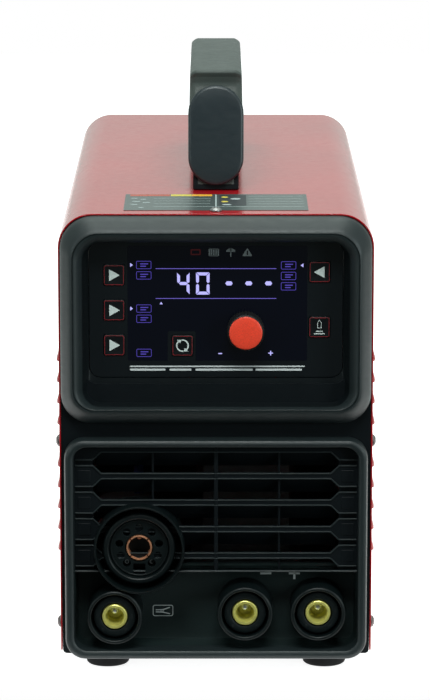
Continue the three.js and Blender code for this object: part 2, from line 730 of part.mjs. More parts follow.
front.add(
  piece("cover_shell", coverShell(), RED_PAINT),
  piece("base_tray", baseTray(), BLACK_STEEL),
  piece("front_panel", frontPanel(), BLACK_MOULDING),
  piece("control_facia", controlFacia(), FACIA_GLOSS),
  piece("display_module", box(-60, 60, FACIA.back + GAP, 12.6, 265, 319), FACIA_GLOSS),
  piece("control_board", box(-88, 88, 14, 15.6, 228, 320), BOARD_GREEN),
  piece("dial_body", dialBody(), KEY_FILM, DIAL.x, 0, DIAL.z),
  piece("dial_cap", drum(DIAL.capR, DIAL.front - 1.5, DIAL.front - GAP, 0, 0, 28), DIAL_RED, DIAL.x, 0, DIAL.z),
  piece("dial_encoder", encoder(), STEEL, DIAL.x, 0, DIAL.z),
);
KEYS.forEach(({ name, x, z }) => front.add(piece(name, key(), KEY_FILM, x, 0, z)));

const torch = new THREE.Group();
torch.position.set(TORCH.x, 0, TORCH.z);
torch.add(
  piece("torch_socket_housing", torchHousing(), BLACK_MOULDING),
  piece("torch_socket_insulator", torchInsulator(), BLACK_MOULDING),
  piece("torch_socket_contact", torchContact(), COPPER),
);
front.add(torch);

CURRENT_SOCKETS.forEach(({ name, x, z }) => {
  const socket = new THREE.Group();
  socket.position.set(x, 0, z);
  socket.add(
    piece(`${name}_socket_body`, socketBody(), BLACK_MOULDING),
    piece(`${name}_socket_brass`, socketBrass(), BRASS),
    piece(`${name}_socket_pin`, socketPin(), STEEL, 0, -2.5, 3.9),
  );
  front.add(socket);
});

const screwSites = [
  { name: "left_upper", side: -1, z: COVER_SCREWS.upper },
  { name: "left_lower", side: -1, z: COVER_SCREWS.lower },
  { name: "right_upper", side: 1, z: COVER_SCREWS.upper },
  { name: "right_lower", side: 1, z: COVER_SCREWS.lower },
];
screwSites.forEach(({ name, side, z }) => {
  const screw = piece(`cover_screw_${name}`, coverScrew(), STEEL, side * (COVER.width / 2 + GAP),
    COVER_SCREWS.inset, z);
  screw.rotation.z = (side * Math.PI) / 2;
  front.add(screw);
});
const topScrews = { front: COVER_SCREWS.inset, rear: COVER.length - COVER_SCREWS.inset };
Object.entries(topScrews).forEach(([end, depth]) => {
  const screw = piece(`cover_screw_top_${end}`, coverScrew(), STEEL, 0, depth, COVER.top + GAP);
  screw.rotation.x = -Math.PI / 2;
  front.add(screw);
});

[-1, 1].forEach((side) => {
  const ends = { front: FOOT.inset, rear: COVER.length - FOOT.inset };
  Object.entries(ends).forEach(([end, depth]) => {
    front.add(piece(`foot_${end}_${side < 0 ? "left" : "right"}`, foot(), RUBBER, side * FOOT.x, depth, 0));
  });
});

rear.add(
  piece("rear_panel", rearPanel(), BLACK_MOULDING),
  piece("fan_guard", fanGuard(), BLACK_STEEL, 0, -1, REAR.fanZ),
  piece("power_switch_body", switchBody(), BLACK_MOULDING, REAR.switch.x, 0, REAR.switch.z),
  piece("cable_gland", cableGland(), BLACK_MOULDING, REAR.gland.x, 0, REAR.gland.z),
  piece("air_inlet", airInlet(), BRASS, REAR.inlet.x, 0, REAR.inlet.z),
  piece("fan_frame", fanFrame(), BLACK_MOULDING, 0, PANEL.front + PANEL.sheet + GAP, REAR.fanZ),
  piece("fan_rotor", fanRotor(), BLACK_MOULDING, 0, PANEL.front + PANEL.sheet + GAP, REAR.fanZ),
);
const rocker = piece("power_switch_rocker", switchRocker(), DIAL_RED, REAR.switch.x, 0, REAR.switch.z);
rocker.rotation.x = THREE.MathUtils.degToRad(-10);
rear.add(rocker);

const handle = new THREE.Group();
handle.position.set(0, HANDLE.y, COVER.top);
const capLean = Math.atan(HANDLE.lean / (HANDLE.height - HANDLE.crown - 7));
handle.add(piece("handle_body", handleBody(), HANDLE_PLASTIC));
[-1, 1].forEach((end) => {
  const cap = piece(`handle_cap_${end < 0 ? "front" : "rear"}`, handleCap(), HANDLE_PLASTIC);
  const foot0 = new THREE.Vector3(0, -HANDLE.length / 2 + 0.2, 3);
  cap.position.copy(foot0);
  cap.rotation.x = -capLean;
  cap.translateY(-GAP);
  const turn = new THREE.Group();
  turn.rotation.z = end < 0 ? 0 : Math.PI;
  turn.add(cap);
  handle.add(turn);
});
machine.add(handle);

const deckTop = DECK.z + DECK.sheet + GAP;
const sink = piece("heatsink", heatsink(), ALUMINIUM, 30, -70, deckTop);
inside.add(
  piece("deck", deck(), BLACK_STEEL, 0, -COVER.length / 2, 0),
  sink,
  piece("inverter_board", box(-22, 84, -75, 85, 0, 1.6), BOARD_GREEN, 0, 0, deckTop + 39 + GAP),
  piece("main_transformer", transformer(), WINDING, -62, 20, deckTop),
  piece("output_choke", choke(), WINDING, -62, -50, deckTop + 9),
  piece("compressor_motor", compressorMotor(), BLACK_STEEL, MOTOR.x, MOTOR.front, MOTOR.z),
  piece("compressor_crankcase", crankcase(), ALUMINIUM, MOTOR.x, MOTOR.front, MOTOR.z),
  piece("compressor_cylinder", compressorCylinder(), ALUMINIUM, MOTOR.x, MOTOR.front - 35, MOTOR.z + 38 + GAP),
  piece("compressor_fan", compressorFan(), BLACK_MOULDING, MOTOR.x, MOTOR.back, MOTOR.z),
  piece("solenoid_valve", solenoidValve(), BRASS, -70, -60, TRAY.bottom + TRAY.sheet + GAP),
  piece("filter_bowl", filterBowl(), FACIA_GLOSS, -70, -110, TRAY.bottom + TRAY.sheet + GAP + 10),
  piece("air_hose", airHose(), HOSE_BLUE, -4, -38, 155),
);

export default machine;
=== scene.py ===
"""The looks of a portable plasma cutter with a built-in compressor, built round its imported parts.

Every size in the file is in millimetres until mesh_piece() writes it in metres. X runs to the right as the
front is faced, Y runs from the front to the back, and Z runs up from the floor.
"""
import math

import bmesh
import bpy
import numpy as np
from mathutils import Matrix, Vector
from mathutils.geometry import tessellate_polygon


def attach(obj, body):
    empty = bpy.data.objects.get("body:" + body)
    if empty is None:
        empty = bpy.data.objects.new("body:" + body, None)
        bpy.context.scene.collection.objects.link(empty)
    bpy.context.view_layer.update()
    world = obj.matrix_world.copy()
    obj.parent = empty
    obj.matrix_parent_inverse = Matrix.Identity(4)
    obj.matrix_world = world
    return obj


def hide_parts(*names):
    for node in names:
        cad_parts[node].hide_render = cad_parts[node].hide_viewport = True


bl_info = {
    "name": "Plasma cutter maker",
    "version": (1, 0, 0),
    "blender": (4, 5, 0),
    "location": "View3D > Sidebar > Plasma cutter",
    "description": "Builds the visible pieces of a portable plasma cutter round its parts",
    "category": "Add Mesh",
}

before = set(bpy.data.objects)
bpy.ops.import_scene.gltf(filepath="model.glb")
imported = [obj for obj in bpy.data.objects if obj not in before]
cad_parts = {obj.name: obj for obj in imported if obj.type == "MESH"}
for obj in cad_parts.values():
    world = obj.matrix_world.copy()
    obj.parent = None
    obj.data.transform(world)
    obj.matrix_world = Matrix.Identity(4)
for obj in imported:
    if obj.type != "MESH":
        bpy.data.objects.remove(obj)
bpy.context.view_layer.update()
MM = 0.001
HALF = 267.0  # half the cover's length
FRONT = -235.0  # the cover's edge in the frame that each end's pieces are drawn in
OUT = HALF + FRONT  # how far that frame's origin stands from the middle of the machine
TOP = 345.0
TAU = 2 * math.pi


# ---------------------------------------------------------------- outlines
def ellipse(a, b, x=0.0, z=0.0, count=48):
    """Points (x + a cos t, z + b sin t), with t running once round."""
    t = np.arange(count) * TAU / count
    return np.stack([x + a * np.cos(t), z + b * np.sin(t)], -1)


def rounded(points, radii, steps=6, closed=True):
    """A polyline whose corners are arcs of the given radii that touch both of a corner's sides."""
    pts = np.asarray(points, float)
    radii = np.broadcast_to(np.asarray(radii, float), len(pts))
    out = []
    for i, (p, r) in enumerate(zip(pts, radii)):
        if r <= 0 or (not closed and i in (0, len(pts) - 1)):
            out.append(p[None])
            continue
        a, b = pts[i - 1] - p, pts[(i + 1) % len(pts)] - p
        la, lb = np.linalg.norm(a), np.linalg.norm(b)
        a, b = a / la, b / lb
        half = math.acos(float(np.clip(a @ b, -1, 1))) / 2
        cut = min(r / math.tan(half), la * 0.499, lb * 0.499)
        r = cut * math.tan(half)
        centre = p + (a + b) / np.linalg.norm(a + b) * r / math.sin(half)
        s, e = p + a * cut - centre, p + b * cut - centre
        turn = math.atan2(s[0] * e[1] - s[1] * e[0], s @ e)
        t = np.linspace(0, turn, steps + 1)[:, None]
        side = np.array([-s[1], s[0]])
        out.append(centre + s * np.cos(t) + side * np.sin(t))
    return np.concatenate(out)


def rect_outline(hw, z0, z1, r_top, r_low=None, steps=8, x=0.0):
    """A rounded rectangle of half-width hw from z0 to z1, always with 4 (steps + 1) points."""
    low = r_top if r_low is None else r_low
    corners = [(x + hw, z0), (x + hw, z1), (x - hw, z1), (x - hw, z0)]
    return rounded(corners, [low, r_top, r_top, low], steps)


def at_depth(outline, y):
    """Stands an (x, z) outline up at the depth y."""
    return np.insert(outline, 1, y, axis=1)


# ---------------------------------------------------------------- surfaces
def quads(rows, columns, wrap_rows=False, wrap_columns=True):
    """Each face joins point (i, j) to (i+1, j), (i+1, j+1) and (i, j+1)."""
    i, j = np.meshgrid(
        np.arange(rows if wrap_rows else rows - 1),
        np.arange(columns if wrap_columns else columns - 1),
        indexing="ij",
    )
    i2, j2 = (i + 1) % rows, (j + 1) % columns
    corners = [i * columns + j, i2 * columns + j, i2 * columns + j2, i * columns + j2]
    return np.stack(corners, -1).reshape(-1, 4)


def lofted(loops, wrap=False, caps=True):
    """The surface through a stack of closed loops; its ends are closed flat, or the last loop joins the first."""
    loops = np.asarray(loops, float)
    n, m = loops.shape[:2]
    faces = [tuple(f) for f in quads(n, m, wrap)]
    if caps and not wrap:
        faces += [tuple(range(m)), tuple(range((n - 1) * m, n * m))]
    return loops.reshape(-1, 3), faces


def turned(profile, x=0.0, z=0.0, count=48, closed=False, axis="y"):
    """A profile of (radius, depth) turned about y: (x + r cos t, depth, z + r sin t), or about z with depth as
    height."""
    p = np.asarray(profile, float)
    t = np.arange(count) * TAU / count
    r, d = p[:, :1], np.repeat(p[:, 1:], count, 1)
    u, v = r * np.cos(t), r * np.sin(t)
    points = [x + u, d, z + v] if axis == "y" else [x + u, z + v, d]
    return lofted(np.stack(points, -1), wrap=closed, caps=not closed)


def mitres(path, closed=True, least=0.3):
    """The mitred normal (n1 + n2) / ((n1 + n2) . n1) at each point, right of the travel, its divisor kept over
    least."""
    p = np.asarray(path, float)
    after = np.roll(p, -1, 0) - p
    before = p - np.roll(p, 1, 0)
    if not closed:
        after[-1], before[0] = before[-1], after[0]
    after /= np.linalg.norm(after, axis=1, keepdims=True)
    before /= np.linalg.norm(before, axis=1, keepdims=True)
    n1 = np.stack([after[:, 1], -after[:, 0]], -1)
    n2 = np.stack([before[:, 1], -before[:, 0]], -1)
    mitre = n1 + n2
    return mitre / np.maximum((mitre * n1).sum(1, keepdims=True), least)


def carried(path, section, closed=True):
    """A closed (offset, depth) section carried along a flat path: point = path + offset * mitred normal."""
    p, mitre = np.asarray(path, float), mitres(path, closed)
    s = np.asarray(section, float)
    flat = p[:, None] + s[None, :, :1] * mitre[:, None]
    depth = np.broadcast_to(s[None, :, 1:], (len(p), len(s), 1))
    points = np.concatenate([flat[..., :1], depth, flat[..., 1:]], -1)
    return lofted(points, wrap=closed, caps=not closed)


def tube(points, r, count=12, closed=False):
    """A round section carried along a path in space, kept upright by the path's own plane."""
    p = np.asarray(points, float)
    d = np.gradient(p, axis=0) if not closed else np.roll(p, -1, 0) - np.roll(p, 1, 0)
    d /= np.linalg.norm(d, axis=1, keepdims=True)
    spread = np.linalg.svd(p - p.mean(0))[2][-1] if len(p) > 2 else np.array([0.0, 0.0, 1.0])
    side = np.cross(d, spread)
    bad = np.linalg.norm(side, axis=1) < 1e-6
    side[bad] = np.cross(d[bad], [0.31, 0.52, 0.79])
    side /= np.linalg.norm(side, axis=1, keepdims=True)
    up = np.cross(side, d)
    t = np.arange(count) * TAU / count
    loops = p[:, None] + r * (np.cos(t)[None, :, None] * side[:, None] + np.sin(t)[None, :, None] * up[:, None])
    return lofted(loops, wrap=closed, caps=not closed)


def plate(outline, holes, y0, y1):
    """A flat plate from depth y0 to y1, with holes through it: two filled faces and a wall round each loop."""
    loops = [np.asarray(loop, float) for loop in [outline, *holes]]
    triangles = tessellate_polygon([[Vector((a, b, 0)) for a, b in loop] for loop in loops])
    flat = np.concatenate(loops)
    n = len(flat)
    points = np.concatenate([at_depth(flat, y0), at_depth(flat, y1)])
    faces = [tuple(t) for t in triangles] + [tuple(k + n for k in t[::-1]) for t in triangles]
    start = 0
    for loop in loops:
        i = start + np.arange(len(loop))
        j = np.roll(i, -1)
        faces += [tuple(f) for f in np.stack([i, j, j + n, i + n], -1)]
        start += len(loop)
    return points, faces


def ring(outer, inner, y0, y1, ease=0.3):
    """A flat ring between two outlines of equal count, with its front edges eased."""
    e = ease
    middle = (outer + inner) / 2
    towards = lambda line, k: line + (middle - line) / np.maximum(
        np.linalg.norm(middle - line, axis=1), 1e-6
    )[:, None] * k
    loops = [at_depth(outer, y1), at_depth(outer, y0 + e), at_depth(towards(outer, e), y0)]
    loops += [at_depth(towards(inner, e), y0), at_depth(inner, y0 + e), at_depth(inner, y1)]
    return lofted(loops, wrap=True)


def moved(part, matrix=None, shift=(0, 0, 0)):
    """A part turned by a 3x3 matrix and then shifted."""
    points, faces = part
    if matrix is not None:
        points = points @ np.asarray(matrix).T
    return points + np.asarray(shift, float), faces


def about(axis, degrees):
    """The 3x3 matrix that turns by the right-hand rule about a main axis."""
    a = math.radians(degrees)
    c, s = math.cos(a), math.sin(a)
    rows = {
        "x": [[1, 0, 0], [0, c, -s], [0, s, c]], "y": [[c, 0, s], [0, 1, 0], [-s, 0, c]],
        "z": [[c, -s, 0], [s, c, 0], [0, 0, 1]]
    }
    return np.array(rows[axis])


WELD, SLIVER = 2e-6, 1e-7  # metres: points this close are one, and edges this short are dropped


def eased(piece, width, segments=2, angle=50):
    """Rounds each edge that is sharper than angle, in degrees, over a width in millimetres."""
    bevel = piece.modifiers.new("Eased edges", "BEVEL")
    bevel.width, bevel.segments = width * MM, segments
    bevel.limit_method, bevel.angle_limit = "ANGLE", math.radians(angle)


def mesh_piece(
    name, parts, finish, body="chassis", nodes=(), sharp=32.0, ease=0.0, open_sheet=False, end=-1
):
    """Joins parts (points in mm, faces) into one object at the origin, riding on a body and standing for nodes.

    Parts are drawn in the frame of the front end (-1), the rear end (1) or the whole machine (0), and then
    moved by OUT * end along y."""
    points, faces, materials, start = [], [], [], 0
    finishes = finish if isinstance(finish, list) else [finish] * len(parts)
    kinds = list(dict.fromkeys(m.name for m in finishes))
    for (p, f), m in zip(parts, finishes):
        points.append(p + [0, OUT * end, 0])
        faces += [[int(k) + start for k in face] for face in f]
        materials += [kinds.index(m.name)] * len(f)
        start += len(p)
    mesh = bpy.data.meshes.new(name)
    mesh.from_pydata((np.concatenate(points) * MM).tolist(), [], faces)
    mesh.polygons.foreach_set("material_index", materials)
    for kind in kinds:
        mesh.materials.append(bpy.data.materials[kind])
    work = bmesh.new()
    work.from_mesh(mesh)
    bmesh.ops.remove_doubles(work, verts=work.verts, dist=WELD)
    bmesh.ops.dissolve_degenerate(work, edges=work.edges, dist=SLIVER)
    if not open_sheet:
        bmesh.ops.recalc_face_normals(work, faces=work.faces)
    work.to_mesh(mesh)
    work.free()
    mesh.polygons.foreach_set("use_smooth", [True] * len(mesh.polygons))
    mesh.set_sharp_from_angle(angle=math.radians(sharp))
    piece = bpy.data.objects.new(name, mesh)
    bpy.context.scene.collection.objects.link(piece)
    if ease:
        eased(piece, ease)
    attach(piece, body)
    if nodes:
        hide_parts(*nodes)
    return piece


# ---------------------------------------------------------------- finishes
class Nodes:
    """Writes a material's nodes with few words."""

    def __init__(self, name):
        self.material = bpy.data.materials.new(name)
        self.material.use_nodes = True
        self.tree = self.material.node_tree
        self.shader = self.tree.nodes["Principled BSDF"]
        self.place = self.add("ShaderNodeTexCoord").outputs["Object"]

    def add(self, kind, **settings):
        node = self.tree.nodes.new(kind)
        for key, value in settings.items():
            setattr(node, key, value)
        return node

    def join(self, source, target):
        self.tree.links.new(source, target)

    def math(self, operation, a, b=0.0):
        node = self.add("ShaderNodeMath", operation=operation)
        for socket, value in zip(node.inputs, (a, b)):
            if isinstance(value, (int, float)):
                socket.default_value = value
            else:
                self.join(value, socket)
        return node.outputs[0]

    def moved(self, shift=(0, 0, 0), turn=(0, 0, 0), scale=(1, 1, 1)):
        node = self.add("ShaderNodeMapping")
        self.join(self.place, node.inputs["Vector"])
        node.inputs["Location"].default_value = shift
        node.inputs["Rotation"].default_value = turn
        node.inputs["Scale"].default_value = scale
        return node.outputs[0]

    def noise(self, scale, detail=3.0, roughness=0.55, vector=None):
        node = self.add("ShaderNodeTexNoise")
        self.join(vector or self.place, node.inputs["Vector"])
        node.inputs["Scale"].default_value = scale
        node.inputs["Detail"].default_value = detail
        node.inputs["Roughness"].default_value = roughness
        return node.outputs["Fac"]

    def cells(self, scale):
        node = self.add("ShaderNodeTexVoronoi")
        self.join(self.place, node.inputs["Vector"])
        node.inputs["Scale"].default_value = scale
        return node.outputs["Distance"]

    def ramp(self, fac, stops):
        node = self.add("ShaderNodeValToRGB")
        self.join(fac, node.inputs["Fac"])
        while len(node.color_ramp.elements) < len(stops):
            node.color_ramp.elements.new(0.5)
        for element, (position, colour) in zip(node.color_ramp.elements, stops):
            element.position = position
            element.color = (*colour, 1) if isinstance(colour, tuple) else (colour, colour, colour, 1)
        return node.outputs["Color"]

    def span(self, value, low, high, to_low, to_high):
        node = self.add("ShaderNodeMapRange")
        self.join(value, node.inputs["Value"])
        for key, number in zip(("From Min", "From Max", "To Min", "To Max"), (low, high, to_low, to_high)):
            node.inputs[key].default_value = number
        return node.outputs["Result"]

    def blend(self, fac, a, b, mode="MIX"):
        node = self.add("ShaderNodeMix", data_type="RGBA", blend_type=mode)
        for socket, value in ((node.inputs[0], fac), (node.inputs[6], a), (node.inputs[7], b)):
            if isinstance(value, bpy.types.NodeSocket):
                self.join(value, socket)
            elif isinstance(value, tuple):
                socket.default_value = (*value, 1)
            else:
                socket.default_value = value
        return node.outputs[2]

    def bump(self, height, strength, distance_mm, below=None):
        node = self.add("ShaderNodeBump")
        node.inputs["Strength"].default_value = strength
        node.inputs["Distance"].default_value = distance_mm * MM
        self.join(height, node.inputs["Height"])
        if below is not None:
            self.join(below, node.inputs["Normal"])
        return node.outputs["Normal"]

    def done(self, colour=None, roughness=None, normal=None, **fixed):
        for key, value in (("Base Color", colour), ("Roughness", roughness), ("Normal", normal)):
            if value is not None:
                self.join(value, self.shader.inputs[key])
        for key, value in fixed.items():
            self.shader.inputs[key.replace("_", " ")].default_value = value
        return self.material


def scaled(colour, k):
    """The colour made lighter or darker by the factor k."""
    return tuple(min(1.0, channel * k) for channel in colour)


def powder_coat(name, colour, roughness=0.13):
    """Smooth powder coat: faint orange peel, a little dust in the roughness and a clear gloss."""
    n = Nodes(name)
    cloud = n.noise(9, 3)
    peel = n.noise(420, 2)
    dust = n.noise(160, 5, 0.7)
    tone = n.ramp(cloud, [(0.3, scaled(colour, 0.9)), (0.7, scaled(colour, 1.06))])
    rough = n.span(dust, 0.35, 0.8, roughness, roughness + 0.09)
    return n.done(tone, rough, n.bump(peel, 0.06, 0.05), Specular_IOR_Level=0.5)


GRAIN_SCALE = 1900.0  # spark-eroded pits to a metre, near enough


def moulding(name, colour, roughness=0.42, grain=0.14, spread=0.12, level=0.5):
    """Moulded plastic with a spark-eroded grain, soft flow clouds and scuffs that change its gloss."""
    n = Nodes(name)
    cloud = n.noise(14, 4)
    pits = n.cells(GRAIN_SCALE)
    fine = n.noise(GRAIN_SCALE * 0.7, 2)
    scuff = n.noise(95, 6, 0.75, n.moved(scale=(1, 1, 3)))
    tone = n.ramp(cloud, [(0.25, scaled(colour, 1 - spread)), (0.75, scaled(colour, 1 + spread))])
    speck = n.ramp(fine, [(0.35, 0.86), (0.65, 1.08)])
    rough = n.span(scuff, 0.3, 0.75, roughness - 0.06, roughness + 0.08)
    normal = n.bump(fine, grain * 0.6, 0.06, n.bump(pits, grain, 0.09))
    return n.done(n.blend(1.0, tone, speck, "MULTIPLY"), rough, normal, Specular_IOR_Level=level)


def rubber(name, colour):
    """Moulded rubber: dull, with dust in its pores and a slightly greyed skin."""
    n = Nodes(name)
    dust = n.noise(60, 6, 0.7)
    tone = n.ramp(dust, [(0.4, colour), (0.72, scaled(colour, 2.1))])
    return n.done(
        tone, n.span(dust, 0.3, 0.8, 0.72, 0.9), n.bump(n.noise(1500, 3), 0.25, 0.08), Specular_IOR_Level=0.25
    )


TOOL_RINGS = 26000.0  # radians of the tool's marks to a metre of radius


def turned_metal(name, colour, centre, roughness=0.22, metal=1.0):
    """Lathe-turned metal: fine rings round its own centre, with tarnish clouds and a few scratches."""
    n = Nodes(name)
    shifted = n.moved(shift=tuple(-c * MM for c in centre))
    split = n.add("ShaderNodeSeparateXYZ")
    n.join(shifted, split.inputs[0])
    squares = [n.math("POWER", split.outputs[way], 2.0) for way in ("X", "Z")]
    r = n.math("SQRT", n.math("ADD", *squares))
    rings = n.math("SINE", n.math("MULTIPLY", r, TOOL_RINGS))
    tarnish = n.noise(210, 5, 0.65)
    tone = n.ramp(tarnish, [(0.3, scaled(colour, 0.72)), (0.62, colour)])
    rough = n.span(tarnish, 0.3, 0.7, roughness + 0.12, roughness)
    return n.done(tone, rough, n.bump(rings, 0.12, 0.015), Metallic=metal)


def plated(name, colour, roughness=0.3):
    """Zinc-plated steel: crystalline clouds of tone and gloss, with small pits."""
    n = Nodes(name)
    cloud = n.noise(420, 5, 0.7)
    tone = n.ramp(cloud, [(0.3, scaled(colour, 0.68)), (0.66, scaled(colour, 1.1))])
    return n.done(
        tone, n.span(cloud, 0.3, 0.7, roughness + 0.15, roughness), n.bump(n.noise(2600, 3), 0.12, 0.02),
        Metallic=1.0
    )


def cast(name, colour, roughness=0.5):
    """Cast or extruded aluminium: a sandy skin with lighter, worn high spots."""
    n = Nodes(name)
    sand = n.noise(1100, 4, 0.7)
    cloud = n.noise(40, 4)
    tone = n.ramp(cloud, [(0.3, scaled(colour, 0.8)), (0.7, scaled(colour, 1.05))])
    return n.done(
        tone, n.span(sand, 0.3, 0.7, roughness - 0.08, roughness + 0.12), n.bump(sand, 0.3, 0.06), Metallic=1.0
    )


def copper_winding(name, colour):
    """Enamelled wire laid side by side: ridges across the coil with a varnish gloss."""
    n = Nodes(name)
    wave = n.add("ShaderNodeTexWave", wave_type="BANDS", bands_direction="Z")
    n.join(n.place, wave.inputs["Vector"])
    wave.inputs["Scale"].default_value = 190
    wave.inputs["Distortion"].default_value = 0.5
    # The tone's dark bands between the ridges are painted shade in the grooves between the wires.
    tone = n.ramp(wave.outputs["Fac"], [(0.1, scaled(colour, 0.35)), (0.6, colour)])
    return n.done(
        tone, n.span(n.noise(80), 0.3, 0.7, 0.25, 0.4), n.bump(wave.outputs["Fac"], 0.7, 0.5), Metallic=0.6
    )


def circuit_board(name, colour):
    """Solder mask over tracks and pads: straight runs show as faint lighter, raised lines."""
    n = Nodes(name)
    brick = n.add("ShaderNodeTexBrick", offset=0.5)
    n.join(n.moved(turn=(math.pi / 2, 0, 0)), brick.inputs["Vector"])
    brick.inputs["Scale"].default_value = 95
    brick.inputs["Mortar Size"].default_value = 0.08
    tone = n.blend(brick.outputs["Fac"], scaled(colour, 0.85), scaled(colour, 1.7))
    return n.done(tone, n.span(n.noise(300), 0.3, 0.7, 0.28, 0.42), n.bump(brick.outputs["Fac"], 0.3, 0.05))


def gloss_film(name, colour, roughness=0.08):
    """A printed film under a clear gloss layer, with fine dust and the faintest waviness."""
    n = Nodes(name)
    dust = n.noise(900, 4, 0.75)
    tone = n.ramp(dust, [(0.6, colour), (0.8, scaled(colour, 1.5))])
    return n.done(
        tone, n.span(dust, 0.45, 0.8, roughness, roughness + 0.16), n.bump(n.noise(30), 0.03, 0.2),
        Specular_IOR_Level=0.4
    )


def ink(name, colour):
    """Screen-printed ink: slightly uneven cover and a dry surface."""
    n = Nodes(name)
    cover = n.noise(2200, 3, 0.6)
    tone = n.ramp(cover, [(0.3, scaled(colour, 0.8)), (0.6, colour)])
    return n.done(tone, n.span(cover, 0.3, 0.7, 0.45, 0.55), n.bump(cover, 0.1, 0.02))


def glow(name, colour, strength):
    """A lit display segment: brightest in its middle grains, with a dark body when unlit."""
    n = Nodes(name)
    grain = n.noise(1400, 3)
    tone = n.ramp(grain, [(0.3, scaled(colour, 0.82)), (0.6, colour)])
    n.join(tone, n.shader.inputs["Emission Color"])
    return n.done(
        n.ramp(grain, [(0.3, scaled(colour, 0.1)), (0.7, scaled(colour, 0.16))]), Roughness=0.3,
        Emission_Strength=strength
    )


# ---------------------------------------------------------------- cover
LOUVRE_ROWS, LOUVRE_PITCH, LOUVRE_LOWEST, LOUVRE_HEIGHT = 10, 16.1, 81.5, 10.5
LOUVRE_BANKS = ((-222.0, -102.0), (102.0, 222.0))


def louvre_span(y):
    """1 along a bank of louvres and 0 outside it, with rounded ends: sqrt(1 - (1 - t)^2), t from 0 to 1 over 6
    mm."""
    out = np.zeros_like(y)
    for start, end in LOUVRE_BANKS:
        t = np.clip(np.minimum(y - start, end - y) / 6.0, 0, 1)
        out = np.maximum(out, np.sqrt(1 - (1 - t) ** 2))
    return out


def side_rows():
    """Heights up one side with the share of a louvre's reach at each; the lip row repeats its sill's height."""
    z, share = [17.0, 20.0, 60.0], [0.0, 0.0, 0.0]
    k = np.array([0.0, 0.16, 0.36, 0.6, 0.82, 1.0])
    for row in range(LOUVRE_ROWS):
        low = LOUVRE_LOWEST + row * LOUVRE_PITCH
        z += [low, *(low + k * LOUVRE_HEIGHT)]
        share += [0.0, *np.cos(k * math.pi / 2) ** 0.8]
    return np.array(z + [240.0, 300.0]), np.array(share + [0.0, 0.0])


def cover_sheet(reach):
    """Point (s, y): s runs up one side, round both bends and down the other; the sheet is pushed out by
    reach * share(s) * span(y). A louvre's lip and sill rows aren't joined, so each louvre is truly open."""
    z, share = side_rows()
    bend = np.linspace(0, math.pi / 2, 13)
    arc = np.stack([90 + 25 * np.cos(bend), 320 + 25 * np.sin(bend)], -1)
    side = np.stack([np.full_like(z, 115.0), z], -1)
    half = np.concatenate([side, arc, [[45.0, 345.0]]])
    push = np.concatenate([share, np.zeros(len(arc) + 1)])
    section = np.concatenate([half, [[0.0, 345.0]], half[::-1] * [-1, 1]])
    push = np.concatenate([push, [0.0], push[::-1]])
    way = np.sign(section[:, 0]) * push * reach
    ends = np.array([0, 0.5, 1.3, 2.4, 4.0, 6.0])
    bands = [
        np.concatenate([a + ends, np.linspace(a + 6, b - 6, 6)[1:-1], b - ends[::-1]]) for a, b in LOUVRE_BANKS
    ]
    y = np.concatenate(
        [[-HALF, 1 - HALF, -245.0], bands[0], np.linspace(-90, 90, 7), bands[1], [245.0, HALF - 1, HALF]]
    )
    x = section[:, None, 0] + way[:, None] * louvre_span(y)[None]
    zz = np.broadcast_to(section[:, None, 1], x.shape)
    yy = np.broadcast_to(y[None], x.shape)
    points = np.stack([x, yy, zz], -1).reshape(-1, 3)
    faces = quads(len(section), len(y), wrap_columns=False)[:, ::-1]
    row = faces.min(1) // len(y)
    step = np.linalg.norm(np.diff(section, axis=0), axis=1)
    return points, [tuple(f) for f in faces[step[row] > 1e-6]]


def build_cover(sizes):
    """The folded sheet cover with its louvres."""
    piece = mesh_piece(
        "cover", [cover_sheet(sizes.louvre_reach / MM)], M("red_powder_coat"), nodes=["cover_shell"],
        open_sheet=True, end=0
    )
    wall = piece.modifiers.new("Sheet", "SOLIDIFY")
    wall.thickness, wall.offset = sizes.sheet, -1.0
    wall.use_even_offset = True
    eased(piece, 0.45, 3, 60)


# ---------------------------------------------------------------- front mouldings
def hood_loops():
    """Rounded rectangles from the hood's root, over its sloping outer band, across a crease and in to the
    facia."""
    slope = [(0.0, 0.0), (0.35, 2.0), (1.0, 3.8), (2.6, 6.6), (4.4, 9.5), (6.1, 12.0), (7.1, 12.9), (7.9, 13.3)]
    outer = []
    for inset, rise in slope:
        k = inset / 7.9
        outer.append(
            (113.5 - 9.0 * k, 190.2 + 11.4 * k, 343.6 - 10.4 * k, 24.3 - 4.3 * k, 22 - 6.5 * k, -237.5 - rise)
        )
    inner = [
        (104.35, 201.8, 333.1, 19.95, 15.45, -249.9),
        (103.75, 202.4, 332.5, 19.5, 15.2, -249.9),
        (103.55, 202.6, 332.3, 19.4, 15.1, -250.6),
        (102.6, 202.8, 331.3, 18.8, 14.8, -250.4),
        (101.3, 203.0, 329.9, 18.0, 14.3, -249.6),
        (99.2, 203.3, 327.4, 16.0, 13.6, -247.2),
        (97.4, 203.7, 325.6, 14.0, 12.8, -243.6),
        (96.0, 204.1, 324.8, 12.5, 12.0, -239.6),
        (94.9, 204.6, 324.4, 11.0, 11.2, -235.8),
        (94.0, 205.4, 324.1, 9.8, 10.4, -233.2),
        (93.6, 206.6, 324.0, 9.2, 10.0, -232.2),
        (93.4, 209.0, 323.9, 8.8, 9.6, -231.7),
        (93.0, 222.4, 323.8, 8.4, 9.0, -230.6),
        (92.8, 223.0, 323.8, 8.2, 8.6, -227.6),
    ]
    rows = [(113.5, 190.2, 343.6, 24.3, 22, -232.0)] + outer + inner + [(95.5, 219.5, 327.0, 9, 9, -226.0)]
    return [at_depth(rect_outline(hw, z0, z1, rt, rb, 10), y) for hw, z0, z1, rt, rb, y in rows]


